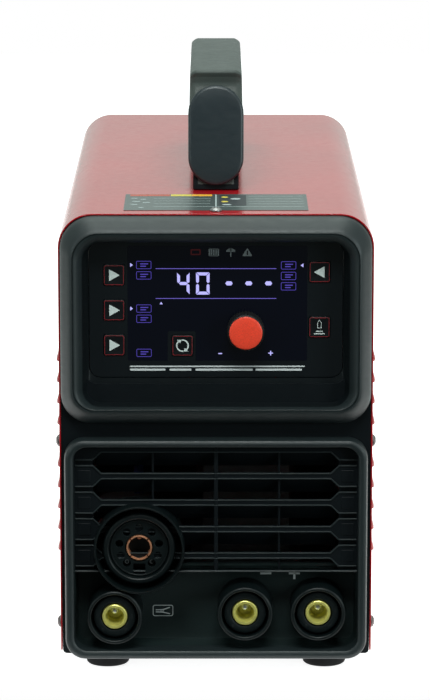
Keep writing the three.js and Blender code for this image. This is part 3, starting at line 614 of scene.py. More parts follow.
def bezel_loops():
    """The lower frame: a rounded outer edge, a flat face that falls inwards a little, and a straight inner
    wall."""
    rows = [
        (111.4, 12.4, 179.3, 15.0, 15.0, -232.0),
        (111.4, 12.4, 179.3, 15.0, 15.0, -241.2),
        (111.1, 12.7, 179.0, 14.8, 14.8, -243.2),
        (110.3, 13.5, 178.2, 14.0, 14.0, -244.9),
        (109.0, 14.8, 176.9, 13.0, 13.0, -245.8),
        (107.6, 16.2, 175.9, 12.0, 12.0, -246.0),
        (105.9, 18.0, 174.7, 11.0, 11.0, -245.6),
        (105.0, 18.9, 173.8, 10.4, 10.4, -244.9),
        (104.6, 19.3, 173.4, 10.0, 10.0, -243.6),
        (104.2, 19.7, 173.0, 9.8, 9.8, -232.0),
    ]
    return [at_depth(rect_outline(hw, z0, z1, rt, rb, 10), y) for hw, z0, z1, rt, rb, y in rows]


def skirt_wall():
    """The wall behind an end panel that the cover is screwed to: up one side, across the top and down the
    other."""
    path = rounded(
        [(111.4, 42.0), (111.4, 341.8), (-111.4, 341.8), (-111.4, 42.0)], [0, 22, 22, 0], 10, closed=False
    )
    return carried(path, [(-1.2, -232.0), (1.2, -232.0), (1.2, -213.2), (-1.2, -213.2)], closed=False)


GRILLE_TOPS = [168.2, 148.1, 128.0, 107.9, 87.8]
SLOT_TALL, TAIL_HALF = 16.3, 2.2


def slot_halves(top):
    """A slot's upper and lower edge lines, each with a tail at both ends: flat, down at 45 degrees, then
    level."""
    low = max(top - SLOT_TALL, 79.0)
    middle = top - SLOT_TALL / 2
    up, down = middle + TAIL_HALF, max(middle - TAIL_HALF, low)
    upper = [(-103.6, up), (-90.5, up), (-84.5, top), (84.5, top), (90.5, up), (103.6, up)]
    lower = [(103.6, down), (90.5, down), (84.5, low), (-84.5, low), (-90.5, down), (-103.6, down)]
    return np.array(upper), np.array(lower)


def build_front_mouldings(sizes):
    """Hood, lower frame, plate with its open grille, and the sunk socket panel."""
    black = M("black_moulding")
    hood, faces = lofted(hood_loops(), wrap=True)
    rim = 15 * 44  # the faces from the hood's root to halfway down its inner wall, 44 to a loop; the faces after them take the darker recess finish, painted shade on the inner wall and shelf
    bezel = lofted(bezel_loops(), wrap=True)
    outline = rect_outline(113.5, 14.5, 343.6, 24.3, 3, 10)
    plate_part = plate(
        outline, [rect_outline(96, 219, 327, 9, 9, 6), rect_outline(104.8, 19.2, 173.6, 10, 10, 6)], -234.5,
        -231.5
    )
    skirt = skirt_wall()
    mesh_piece(
        "front_hood", [(hood, faces[:rim]), (hood, faces[rim:])], [black, M("recess_moulding")],
        nodes=["front_panel"], sharp=28
    )
    mesh_piece("front_lower_frame", [bezel], black, sharp=28)
    # The plate and the wall behind it take the darker moulding as painted shade under the hood.
    mesh_piece("front_plate", [plate_part, skirt], M("shade_moulding"), ease=0.3)

    lands, backs, rims = [], [], []
    for top in GRILLE_TOPS:
        upper, lower = slot_halves(top)
        lands.append(np.concatenate([upper, lower]))
        backs.append(np.concatenate([upper[1:-1], lower[1:-1]]))
        bead = [(-0.6, -236.2), (-0.5, -236.9), (-0.2, -237.25), (0.2, -237.25), (0.5, -236.9), (0.6, -236.2)]
        rims += [
            carried(rounded(line, 2.0, 4, closed=False), bead, closed=False)
            for line in ([upper] if top < 90 else [upper, lower])
        ]
    field = rect_outline(104.4, 77.6, 173.2, 10, 0.5, 8)
    front = plate(field, lands, -236.4, -234.2)
    back = plate(field, backs, -234.3, -232.2)
    lip = [(-0.7, -236.3), (-0.6, -237.2), (0.0, -237.5), (0.6, -237.2), (0.7, -236.3)]
    edge = carried(np.array([(-104.0, 78.0), (104.0, 78.0)]), lip, closed=False)
    pads = [
        lofted(
            [
                at_depth(rect_outline(4.6 - e, z - 4.4 + e, z + 4.4 - e, 0.6, steps=2, x=s * 97.0), y)
                for e, y in ((0, -236.0), (0, -236.7), (0.25, -236.9))
            ]
        )
        for s in (-1, 1) for z in (150.0, 129.9, 109.8, 89.7)
    ]
    ribs = [
        lofted(
            [
                at_depth(rect_outline(w - e, 77.8, 173.2, 0.3, steps=1, x=x), y)
                for e, y in ((0, -229.5), (0, d + 0.4), (0.35, d))
            ]
        )
        for x, w, d in ((0, 1.5, -237.1), (-46.5, 0.8, -234.8), (46.5, 0.8, -234.8))
    ]
    # dull is the darker, duller moulding, used as painted shade on the grille's lands, pads, ribs and blades.
    dull = M("shade_moulding")
    finishes = [dull, dull, black] + [black] * len(rims) + [dull] * (len(pads) + len(ribs))
    mesh_piece(
        "front_grille", [front, back, edge, *rims, *pads, *ribs], finishes, sharp=30,
        ease=0.2
    )

    blades = []
    for top in GRILLE_TOPS[:4]:
        section = rounded(
            [(-232.0, top - 2.0), (-231.0, top - 1.4), (-223.0, top - 12.4), (-224.0, top - 13.0)], 0.4, 2
        )
        across = np.linspace(-88, 88, 2)
        blades.append(lofted([np.insert(section, 0, x, axis=1) for x in across]))
    mesh_piece("grille_blades", blades, dull)

    rows = [
        (101.2, 22.4, 75.2, 6.5, -216.0), (102.6, 21.0, 76.4, 7.6, -216.3), (103.2, 20.4, 76.9, 8.2, -217.6),
        (104.2, 19.5, 77.5, 9.4, -236.0), (104.2, 19.5, 78.4, 9.4, -236.9), (105.0, 18.7, 79.0, 10, -236.0),
        (105.0, 18.7, 79.0, 10, -213.6)
    ]
    bowl = lofted([at_depth(rect_outline(hw, z0, z1, 1.2, rb, 8), y) for hw, z0, z1, rb, y in rows])
    # The sunk panel takes a slightly lighter copy of the black moulding: painted light that offsets the ledge's
    # shadow on it.
    mesh_piece("socket_panel", [bowl], M("socket_panel_moulding"), sharp=40)


# ---------------------------------------------------------------- sockets
CURRENT_SOCKETS = {"clamp": (-74.8, 44.6), "negative": (21.5, 47.5), "positive": (75.4, 47.5)}
TORCH_X, TORCH_Z = -56.6, 96.3
PIN_CIRCLE = 14.9  # radius of the ring of holes round the torch contact


def arc_solid(section, start, end, x, z):
    """A closed (radius, depth) section turned from start to end degrees, with flat ends."""
    s = np.asarray(section, float)
    t = np.radians(np.linspace(start, end, 14))[:, None]
    depth = np.broadcast_to(s[:, 1], (len(t), len(s)))
    loops = np.stack([x + s[:, 0] * np.cos(t), depth, z + s[:, 0] * np.sin(t)], -1)
    return lofted(loops)


def build_current_sockets(sizes):
    """The three twist-lock sockets: moulded boss, insulator, brass insert with a stepped bore, and locating
    pin."""
    boss = [
        (20.3, -214), (20.3, -244.6), (20.0, -245.5), (19.2, -246), (18.1, -246), (17.6, -245.6),
        (17.4, -244.8), (17.4, -221), (12, -221), (12, -214)
    ]
    body = [
        (15.6, -218), (15.6, -240.9), (15.3, -241.7), (14.6, -242.1), (11.2, -242.1), (10.4, -241.7),
        (10.0, -240.6), (10.0, -218)
    ]
    brass = [
        (0, -226), (4.9, -226), (4.9, -230.6), (5.3, -231.2), (6.2, -232.2), (6.6, -233), (6.6, -242.0),
        (7.1, -242.7), (8.6, -242.8), (9.2, -242.3), (9.3, -241.4), (9.3, -208), (0, -208)
    ]
    for name, (x, z) in CURRENT_SOCKETS.items():
        mesh_piece(
            f"{name}_socket_boss", [turned(boss, x, z, 72, closed=True)], M("socket_moulding"),
        )
        keys = [
            lofted(
                [
                    at_depth(rect_outline(w - e, z + dz - 1.1 + e, z + dz + 1.1 - e, 0.3, steps=2, x=x + dx), y)
                    for e, y in ((0, -241.8), (0, -242.3), (0.2, -242.45))
                ]
            )
            for dx, dz, w in ((13.0, 0.5, 0.7), (-13.0, 0.5, 0.7), (8.6, -10.2, 0.9), (-9.0, -10.0, 0.9))
        ]
        mesh_piece(
            f"{name}_socket_insulator", [turned(body, x, z, 72, closed=True), *keys], M("socket_moulding"),
            nodes=[f"{name}_socket_body"]
        )
        metal = M(f"brass_{name}")
        mesh_piece(
            f"{name}_socket_insert", [turned(brass, x, z, 64)], metal, nodes=[f"{name}_socket_brass"],
            sharp=40
        )
        a = np.linspace(0, math.pi / 2, 8)
        dome = [(2.85 * math.sin(k), -236.6 - 2.6 * math.cos(k)) for k in a]
        mesh_piece(
            f"{name}_socket_key_pin", [turned([*dome, (2.85, -226), (0, -226)], x, z + 3.6, 32)],
            M("bright_steel"), nodes=[f"{name}_socket_pin"], sharp=40
        )


def build_torch_socket(sizes):
    """The central torch socket: deep boss, collar, pin plate, four plated pins and the slit copper contact."""
    x, z = TORCH_X, TORCH_Z
    boss = [
        (33.5, -214), (33.5, -245.6), (33.2, -247.0), (32.5, -247.8), (31.9, -247.8), (31.5, -247.2),
        (31.4, -246), (31.4, -218), (24, -218), (24, -214)
    ]
    collar = [
        (27, -217), (27, -240.4), (26.6, -241.8), (25.8, -242.7), (24.9, -243), (23.4, -243), (22.6, -242.4),
        (22.1, -240.8), (21.8, -237.2), (21.8, -217)
    ]
    mesh_piece(
        "torch_socket_boss", [turned(boss, x, z, 96, closed=True)], M("socket_moulding")
    )
    mesh_piece(
        "torch_socket_collar", [turned(collar, x, z, 96, closed=True)], M("socket_moulding"),
        nodes=["torch_socket_housing"]
    )

    angles = np.radians([90, 128, 52, 168, 12, 204, 336, 232, 308])
    holes = [
        ellipse(2.95, 2.95, x + PIN_CIRCLE * math.cos(a), z + PIN_CIRCLE * math.sin(a), 24) for a in angles
    ]
    keyway = rect_outline(4.5, z - 20.2, z - 12.0, 0.5, steps=2, x=x)
    bore = ellipse(10.3, 10.3, x, z, 64)
    disc = plate(ellipse(21.4, 21.4, x, z, 96), [bore, *holes, keyway], -238.6, -229.4)
    rim = ring(ellipse(21.6, 21.6, x, z, 96), ellipse(20.2, 20.2, x, z, 96), -239.3, -236, 0.4)
    floor = turned([(0, -228.9), (21.4, -228.9), (21.4, -227.5), (0, -227.5)], x, z, 48)
    mesh_piece(
        "torch_pin_plate", [disc, rim, floor], M("socket_moulding"), nodes=["torch_socket_insulator"],
        ease=0.25
    )
    pin = [(0.95, -228.5), (0.95, -234.4), (1.15, -234.8), (1.45, -234.8), (1.65, -234.3), (1.65, -228.5)]
    pins = [
        turned(pin, x + PIN_CIRCLE * math.cos(a), z + PIN_CIRCLE * math.sin(a) + 0.2, 20, closed=True)
        for a in angles[[0, 1, 7, 8]]
    ]
    mesh_piece("torch_pins", pins, M("bright_steel"))

    finger = [(8.15, -224), (8.15, -239.2), (8.5, -239.8), (9.0, -239.8), (9.5, -239.1), (9.5, -224)]
    fingers = [arc_solid(finger, 45 + q + 4, 135 + q - 4, x, z) for q in (0, 90, 180, 270)]
    sleeve = turned([(0, -221), (8.1, -221), (8.1, -225), (9.5, -225), (9.5, -215), (0, -215)], x, z, 64)
    detent = turned([(0, -237.4), (1.0, -237.1), (1.6, -236.2), (1.6, -233), (0, -233)], x, z + 7.4, 20)
    mesh_piece(
        "torch_contact", [*fingers, sleeve, detent], M("contact_copper"), nodes=["torch_socket_contact"],
    )


def build_panel_marks(sizes):
    """Printed marks on the socket panel: minus, plus and a clamp outline in a rounded frame."""
    y = -216.12

    def bar(x0, x1, z0, z1):
        return lofted([at_depth(np.array([(x1, z0), (x1, z1), (x0, z1), (x0, z0)]), d) for d in (y + 0.2, y)])

    signs = [bar(33.0, 41.2, 70.1, 71.5), bar(54.3, 62.5, 70.1, 71.5), bar(57.6, 59.2, 66.4, 75.0)]
    frame_line = ring(
        rect_outline(7.6, 37.9, 46.5, 1.6, steps=4, x=-39.5),
        rect_outline(7.1, 38.4, 46.0, 1.2, steps=4, x=-39.5), y, y + 0.2, 0.02
    )
    jaw = lambda points: plate(np.array(points), [], y, y + 0.2)
    upper = jaw([(-44.9, 43.0), (-39.6, 43.3), (-34.4, 45.0), (-34.2, 44.3), (-38.9, 42.5), (-44.9, 42.3)])
    lower = jaw([(-44.9, 41.5), (-39.6, 41.3), (-34.2, 40.0), (-34.4, 39.3), (-39.8, 40.6), (-44.9, 40.8)])
    pivot = ring(
        ellipse(1.1, 1.1, -40.2, 41.9, 16), ellipse(0.6, 0.6, -40.2, 41.9, 16), y - 0.02, y + 0.2, 0.02
    )
    mesh_piece("socket_panel_marks", [*signs, frame_line, upper, lower, pivot], M("pale_ink"))


# ---------------------------------------------------------------- controls
KEYS = {
    "key_air_source": (-74.4, 299.0, "right"),
    "key_trigger_mode": (-74.4, 273.0, "right"),
    "key_post_flow": (-74.4, 247.0, "right"),
    "key_process": (75.6, 301.3, "left"),
    "key_gas_test": (75.6, 260.4, "bottle"),
    "key_cycle": (-24.5, 246.7, "cycle"),
}
DIAL_X, DIAL_Z = 21.7, 258.6


def flat_shape(points, y, thickness=0.1):
    """A printed or lit shape: its outline made a plate whose front is at depth y."""
    return plate(np.asarray(points, float), [], y, y + thickness)


def outline_box(x, z, w, h, y, line=0.35, r=0.9):
    """A thin rounded frame w by h round (x, z)."""
    outer = rect_outline(w / 2, z - h / 2, z + h / 2, r, steps=3, x=x)
    inner = rect_outline(w / 2 - line, z - h / 2 + line, z + h / 2 - line, max(r - line, 0.1), steps=3, x=x)
    return ring(outer, inner, y, y + 0.1, 0.01)


def key_icon(kind, x, z, y):
    """The pictogram on a key: a triangle, a gas bottle or a pair of turning arrows."""
    if kind in ("left", "right"):
        s = 1 if kind == "right" else -1
        return [
            flat_shape(rounded([(x - s * 3.5, z + 4.3), (x - s * 3.5, z - 4.3), (x + s * 4.3, z)], 0.25, 2), y)
        ]
    if kind == "bottle":
        body = [
            (x + 1.5, z - 0.8), (x + 1.5, z + 3.4), (x + 0.6, z + 4.7), (x + 0.6, z + 5.4), (x - 0.6, z + 5.4),
            (x - 0.6, z + 4.7), (x - 1.5, z + 3.4), (x - 1.5, z - 0.8)
        ]
        outer = rounded(body, 0.3, 2)
        centre = np.array([x, z + 2.0])
        inner = centre + (outer - centre) * [0.72, 0.88]
        bars = [
            flat_shape(rect_outline(w, z + dz, z + dz + 0.8, 0.2, steps=1, x=x), y)
            for w, dz in ((2.6, -3.4), (4.0, -5.2))
        ]
        return [ring(outer, inner, y, y + 0.1, 0.01), *bars]
    parts = []
    for turn in (0, 180):
        a = np.radians(turn + np.linspace(-48, 98, 18))
        arc = np.stack([x + 4.2 * np.cos(a), z + 4.2 * np.sin(a)], -1)
        parts.append(carried(arc, [(-0.5, y), (0.5, y), (0.5, y + 0.1), (-0.5, y + 0.1)], closed=False))
        t = math.radians(turn - 48)
        tip = lambda r, da: (x + r * math.cos(t + da), z + r * math.sin(t + da))
        parts.append(flat_shape([tip(2.5, 0.0), tip(4.3, -0.55), tip(6.0, 0.05)], y))
    return parts


def build_facia(sizes):
    """The facia with its key openings, the dark window and the plain printed line under it."""
    ways = [rect_outline(8.0, z - 8.0, z + 8.0, 1.6, steps=3, x=x) for x, z, _ in KEYS.values()]
    face = plate(rect_outline(92.5, 223.2, 323.6, 8.2, steps=8), ways, FRONT + 5.0, FRONT + 7.0)
    mesh_piece(
        "control_facia_plate", [face], M("facia_film"), nodes=["control_facia"], ease=0.2
    )
    notch = [
        (66.6, 235.4), (66.6, 320.6), (-64.5, 320.6), (-64.5, 235.4), (-35.3, 235.4), (-35.3, 257.4),
        (-14.9, 257.4), (-14.9, 235.4)
    ]
    pane = plate(
        rounded(notch, [1, 1, 1, 1, 0.5, 1, 1, 0.5], 3), [ellipse(4.8, 4.8, DIAL_X, DIAL_Z, 32)], FRONT + 4.85,
        FRONT + 5.0
    )
    mesh_piece("display_pane", [pane], M("window_film"))
    y = FRONT + 4.85
    line = flat_shape(rect_outline(64.0, 230.6, 231.6, 0.4, steps=2, x=1.0), y)
    ticks = [
        flat_shape(rect_outline(w, 227.9, 229.4, 0.5, steps=2, x=x), y)
        for x, w in ((-50, 13), (-26, 8), (6, 21), (46, 17))
    ]
    mesh_piece("facia_printed_lines", [line, *ticks], M("pale_ink"))


def build_keys(sizes):
    """Six film keys with a thin red border and a pale pictogram, each on its own sliding body."""
    for name, (x, z, kind) in KEYS.items():
        rows = [
            (0.0, FRONT + 8.7), (0.0, FRONT + 4.7), (0.12, FRONT + 4.38), (0.45, FRONT + 4.2),
            (1.6, FRONT + 4.2), (1.9, FRONT + 4.32)
        ]
        cap = lofted(
            [
                at_depth(
                    rect_outline(7.7 - e, z - 7.7 + e, z + 7.7 - e, max(1.6 - e * 0.5, 0.6), steps=4, x=x), d
                )
                for e, d in rows
            ]
        )
        stem = lofted(
            [at_depth(rect_outline(2, z - 2, z + 2, 0.5, steps=2, x=x), d) for d in (FRONT + 12, FRONT + 8.6)]
        )
        border = outline_box(x, z, 14.4, 14.4, FRONT + 4.12, 0.4, 1.2)
        field = outline_box(x, z, 11.4, 11.4, FRONT + 4.24, 0.18, 0.6)
        icon = key_icon(kind, x, z, FRONT + 4.22)
        parts = [cap, stem, border, field, *icon]
        finish = [M("key_film")] * 2 + [M("key_border")] + [M("key_film")] + [M("key_ink")] * len(icon)
        mesh_piece(f"{name}_cap", parts, finish, body=name, nodes=[name])


SEGMENTS = {"4": "fgbc", "0": "abcdef"}


FIGURE_BAR, FIGURE_GAP = 2.2, 0.3


def digit(char, x, z, w, h, y):
    """A seven-segment figure w by h with its lower left corner at (x, z): bars with mitred ends, drawn for the
    upper left, the top and the middle, and mirrored for the rest."""
    bar, gap, m, half = FIGURE_BAR, FIGURE_GAP, h / 2, FIGURE_BAR / 2
    upright = np.array(
        [(0, h - gap), (bar, h - bar - gap), (bar, m + half + gap), (bar * 0.6, m + gap), (0.15, m + half)]
    )
    top = np.array([(gap, h), (w - gap, h), (w - bar - gap, h - bar), (bar + gap, h - bar)])
    inset = half + gap
    middle = np.array(
        [
            (inset, m), (inset + half, m + half), (w - inset - half, m + half), (w - inset, m),
            (w - inset - half, m - half), (inset + half, m - half)
        ]
    )
    across, down = np.array([(w, 0), (-1, 1)]), np.array([(0, h), (1, -1)])
    flip = lambda shape, how: how[0] + shape * how[1]
    bars = {"a": top, "d": flip(top, down), "f": upright, "b": flip(upright, across), "e": flip(upright, down),
            "c": flip(flip(upright, across), down), "g": middle}
    return [flat_shape(bars[letter] + [x, z], y, 0.15) for letter in SEGMENTS[char]]


def build_display(sizes):
    """What the display shows: the figure 40, three dashes, two rules, small frames with plain bars, and
    pointers."""
    y = FRONT + 4.74
    bright = digit("4", -28.4, 284.6, 9.2, 16.4, y) + digit("0", -14.6, 284.6, 10.0, 16.4, y)
    bright += [
        flat_shape(
            rounded(
                [
                    (x - 2.7, 292.9), (x - 1.6, 294.4), (x + 1.6, 294.4), (x + 2.7, 292.9), (x + 1.6, 291.4),
                    (x - 1.6, 291.4)
                ],
                0.5, 3
            ),
            y
        )
        for x in (9.5, 23.9, 38.3)
    ]
    side = lambda x, z, s: flat_shape([(x - s * 0.9, z + 1.5), (x - s * 0.9, z - 1.5), (x + s * 1.1, z)], y)
    bright += [
        side(-61.6, 306.5, 1), side(-61.7, 274.2, 1), side(62.8, 306.2, -1),
        flat_shape([(-41.1, 277.4), (-38.9, 277.4), (-40, 279.2)], y)
    ]
    bright += [
        flat_shape(rect_outline(1.4, 240.3, 241.1, 0.2, steps=1, x=3.1), y),
        flat_shape(rect_outline(1.7, 240.6, 241.4, 0.2, steps=1, x=40.0), y),
        flat_shape(rect_outline(0.4, 239.3, 242.7, 0.2, steps=1, x=40.0), y - 0.02)
    ]
    mesh_piece("display_figures", bright, M("figure_glow"))
    rules = [flat_shape(rect_outline(44.0, z - 0.2, z + 0.2, 0.1, steps=1), y) for z in (303.8, 281.7)]
    mesh_piece("display_rules", rules, M("rule_glow"))
    boxes = [
        (-52.6, z) for z in (306.5, 298.8, 274.2, 266.6, 241.2)
    ] + [(52.9, z) for z in (306.2, 298.4, 290.7)]
    faint = [outline_box(x, z, 11.0, 5.9, y, 0.36, 0.9) for x, z in boxes]
    lines = [
        flat_shape(rect_outline(w, z + dz - 0.35, z + dz + 0.35, 0.2, steps=1, x=x + dx), y) for x, z in boxes
        for w, dz, dx in ((2.9, 0.8, 0.3), (2.1, -0.9, -0.5))
    ]
    mesh_piece("display_frames", faint + lines, M("frame_glow"))
    lamps = [
        flat_shape(rect_outline(0.55, 313.2, 318.6, 0.2, steps=1, x=x), y) for x in (-4.8, -3.3, -1.6, 0.1, 1.7)
    ]
    lamps += [flat_shape(rect_outline(3.6, z - 0.3, z + 0.3, 0.2, steps=1, x=-1.6), y) for z in (313.3, 318.4)]
    dome = [(10.8 + 3.4 * math.cos(a), 316.2 + 2.6 * math.sin(a)) for a in np.linspace(0, math.pi, 13)]
    lamps += [flat_shape(dome, y), flat_shape(rect_outline(0.4, 312.6, 319.2, 0.2, steps=1, x=10.8), y)]
    outer, hole = rounded(
        [(19.0, 313.0), (26.6, 313.0), (22.8, 319.2)], 0.5, 3
    ), rect_outline(0.45, 313.9, 317.2, 0.3, steps=2, x=22.8)
    lamps.append(plate(outer, [hole], y, y + 0.1))
    mesh_piece("display_lamps", lamps, M("unlit_lamp"))
    mesh_piece(
        "display_fault_lamp", [outline_box(-14.8, 316.0, 7.4, 4.4, y, 1.0, 0.8)], M("dim_red_lamp"),
    )


def build_dial(sizes):
    """The ribbed dial, r + 0.45 |cos 18 t|^0.6 round its grip, with a slightly crowned red cap let into its
    face."""
    t = np.arange(288) * TAU / 288
    rib = 0.45 * np.abs(np.cos(18 * t)) ** 0.6
    rows = [
        (0.01, -223.1, 0), (3.0, -223.1, 0), (3.0, -230.7, 0), (13.3, -230.7, 1), (13.4, -231.3, 1),
        (13.3, -242.4, 1), (13.1, -243.5, 0.7), (12.7, -244.2, 0), (12.35, -244.4, 0), (12.3, -243.8, 0),
        (0.01, -243.8, 0)
    ]
    loops = [
        np.stack(
            [DIAL_X + (r + k * rib) * np.cos(t), np.full_like(t, y), DIAL_Z + (r + k * rib) * np.sin(t)], -1
        )
        for r, y, k in rows
    ]
    mesh_piece(
        "dial_grip", [lofted(loops)], M("dial_moulding"), body="dial", nodes=["dial_body"]
    )
    crown = [(12.1 * math.sin(k), -244.6 - 1.35 * math.cos(k)) for k in np.linspace(0, math.pi / 2, 14)]
    crown = [(r, max(d, -245.9)) for r, d in crown]
    mesh_piece(
        "dial_red_cap", [turned([*crown, (12.15, -244.3), (0, -243.9)], DIAL_X, DIAL_Z, 72)], M("dial_red"),
        body="dial", nodes=["dial_cap"], sharp=50
    )


# ---------------------------------------------------------------- handle and top
def resampled(outline, step):
    """A closed outline with more points, so that none are more than step apart."""
    p = np.asarray(outline, float)
    out = []
    for a, b in zip(p, np.roll(p, -1, 0)):
        n = max(1, int(math.ceil(np.linalg.norm(b - a) / step)))
        out.append(a + (b - a) * np.arange(n)[:, None] / n)
    return np.concatenate(out)


def pillow(outline, half, r, ways=None, steps=6):
    """A (y, z) outline given thickness along x, with round edges: at x = half - r + r sin a it moves r (1 -
    cos a) inwards."""
    ways = -mitres(outline, least=0.35) if ways is None else ways
    a = np.linspace(0, math.pi / 2, steps + 1)
    stations = [(-(half - r + r * math.sin(k)), r * (1 - math.cos(k))) for k in a[::-1]]
    stations += [(-x, d) for x, d in stations[::-1]]
    loops = [np.insert(outline + ways * d, 0, x, axis=1) for x, d in stations]
    return lofted(loops)


def handle_outline():
    """The handle's side view in (y, z): leaning legs, a scoop under each end's lip, a level top and a rounded
    hand gap."""
    half = [
        ((-124.6, 349.6), 0), (
            (-117.5, 413.5), 9.0
        ), ((-111.8, 424.0), 7.0), ((-114.0, 431.0), 3.6), ((-117.6, 437.0), 3.6),
    ]
    gap = [((82.0, 349.6), 0), ((82.0, 407.0), 20.0), ((-82.0, 407.0), 20.0), ((-82.0, 349.6), 0)]
    rear = [((-y, z), r) for (y, z), r in half[::-1]]
    both = half + rear + gap
    return resampled(rounded([p for p, _ in both], [r for _, r in both], 6)[::-1], 7.0)


def build_handle(sizes):
    """The bridge handle, its four-sided feet, and the oval cover that leans against each leg."""
    base, top = sizes.handle_base_width / MM / 2, sizes.handle_top_width / MM / 2
    side = handle_outline()
    ways = -mitres(side, least=0.35)
    out = np.sign(side[:, 0])
    nose = np.clip((side[:, 1] - 414) / 8, 0, 1) * np.clip((np.abs(side[:, 0]) - 96) / 12, 0, 1)
    ways += (np.stack([-0.8 * out, np.full_like(out, -0.8)], -1) - ways) * nose[:, None]
    low = side[:, 1] < 350
    ways[low] = np.stack([np.where(np.abs(side[:, 0]) > 100, -out, out), np.zeros_like(out)], -1)[low]
    points, faces = pillow(side, base, 5.5, ways)
    up = np.clip((points[:, 2] - 350) / 87, 0, 1)
    share = points[:, 0] / base
    points[:, 0] *= 1 + (top / base - 1) * up
    points[:, 0] *= 1 - 0.24 * np.clip((368 - points[:, 2]) / 10, 0, 1)
    high = np.clip((points[:, 2] - 424) / 12, 0, 1)
    end = np.clip((np.abs(points[:, 1]) - 104) / 10, 0, 1)
    points[:, 1] -= np.sign(points[:, 1]) * 2.2 * share**2 * high * end
    points[:, 2] -= (1.7 * share**2 + np.where(points[:, 1] < 0, 1.4, 3.4) * (points[:, 1] / 116) ** 2) * high
    mesh_piece(
        "handle_grip", [(points, faces)], M("handle_plastic"), nodes=["handle_body"],
        sharp=45
    )
    feet = []
    for s in (-1, 1):
        foot = rounded(
            [(s * 124.5, TOP + 0.3), (s * 121.8, 371.5), (s * 84.5, 371.5), (s * 84.5, TOP + 0.3)],
            [0, 2, 2, 0], 3
        )
        feet.append(lofted([np.insert(foot, 0, x, axis=1) for x in (-17.2, 17.2)]))
    # The feet take the darker moulding as painted shade beneath the oval covers.
    mesh_piece("handle_feet", feet, M("shade_moulding"), ease=0.8)

    lean = 180 * math.atan2(9.6, 74.0) / math.pi
    for s, place in ((1, "front"), (-1, "rear")):
        rows = [
            (0.9, 2.2), (0.2, 2.2), (0.0, 1.9), (0.0, 0.2), (0.15, -0.5), (0.6, -1.2), (1.3, -1.7),
            (2.1, -1.95), (2.6, -2.05), (9.0, -2.45), (15.0, -2.6)
        ]
        loops = []
        for e, d in rows:
            r = 20.9 - e
            arc = np.linspace(0, math.pi, 25)
            upper = np.stack([r * np.cos(arc), 54.2 + r * np.sin(arc)], -1)
            lower = np.stack([-r * np.cos(arc), 20.9 - r * np.sin(arc)], -1)
            loops.append(at_depth(np.concatenate([upper, lower]), d))
        cap = moved(lofted(loops), about("x", -lean), (0, -126.5, 349.2))
        if s < 0:
            cap = moved(cap, about("z", 180))
        mesh_piece(
            f"handle_cover_{place}", [cap], M("cap_plastic"), nodes=[f"handle_cap_{place}"],
            sharp=40
        )


def laid(part):
    """Lays a part built as (x, depth, z) down flat, so its depth becomes height and its z becomes y."""
    points, faces = part
    return points[:, [0, 2, 1]], faces


def build_label(sizes):
    """The plain rating plate on the top: a grey film with coloured bars, rules and rows of dashes, and no
    words."""
    film = laid(plate(rect_outline(67.5, -220.4, -145.6, 1.5, steps=4), [], TOP + 0.3, TOP + 0.06))

    def bar(x0, x1, y0, y1, h=0.36):
        return laid(
            plate(rect_outline((x1 - x0) / 2, y0, y1, 0.4, steps=1, x=(x0 + x1) / 2), [], TOP + h, TOP + 0.28)
        )

    red, amber, yellow = bar(-64, -34.2, -155, -147), bar(-18, -2.8, -155, -147), bar(-33.6, -18.2, -155, -147)
    pale = [bar(-0.5, 0.5, -203, -147), bar(-46, 65, -204.3, -203.5, 0.35)]
    pale += [bar(24, 65, y, y + 0.6) for y in (-156, -168, -180, -191)]
    pale += [bar(-46, -4, y, y + 0.5) for y in (-166, -178, -190)]
    pale += [
        bar(x, x + w, y, y + 2.2)
        for x, w, y in (
            (-63, 5, -166), (-56, 4, -171), (-62, 6, -181), (-54, 5, -186), (-63, 5, -195), (-57, 4, -209)
        )
    ]
    block = bar(2.4, 22.4, -199, -150, 0.34)
    ovals = [
        laid(plate(ellipse(a, b, x, y, 24), [], TOP + 0.4, TOP + 0.3))
        for a, b, x, y in (
            (2.6, 3, 6.5, -160), (3.8, 3.4, 14.5, -168), (2.6, 3, 6.5, -181), (3.4, 2.6, 8.0, -195)
        )
    ]
    finishes = [
        M("label_grey"), M("label_red"), M("label_amber"), M("label_yellow")
    ] + [M("label_pale")] * len(pale) + [M("label_dark")]
    finishes += [M("label_yellow"), M("label_pale"), M("label_yellow"), M("label_pale")]
    mesh_piece("rating_plate", [film, red, amber, yellow, *pale, block, *ovals], finishes)


def screw_head(r=4.3, height=2.6):
    """A pan head along +z: dome z = h (1 - 0.45 (r / R)^2), then a cross recess whose edge is min(L, w /
    min(|sin|, |cos|))."""
    t = (np.arange(64) + 0.5) * TAU / 64
    cross = np.minimum(2.15, 0.5 / np.maximum(np.minimum(np.abs(np.sin(t)), np.abs(np.cos(t))), 0.05))
    rows = [(r - 0.3, 0.0), (r, 0.15), (r, 0.7)]
    rows += [(r * k, height * (1 - 0.62 * k**2.6)) for k in (0.97, 0.9, 0.8, 0.68, 0.58)]
    loops = [np.stack([rr * np.cos(t), rr * np.sin(t), np.full_like(t, h)], -1) for rr, h in rows]
    for k, h in ((1.0, height * 0.985), (0.97, height * 0.9), (0.7, height * 0.45), (0.2, height * 0.3)):
        loops.append(np.stack([cross * k * np.cos(t), cross * k * np.sin(t), np.full_like(t, h)], -1))
    return lofted(loops)


SCREW_Y, SIDE_SCREW_HEIGHTS = 223.0, ((174.0, "upper"), (36.0, "lower"))


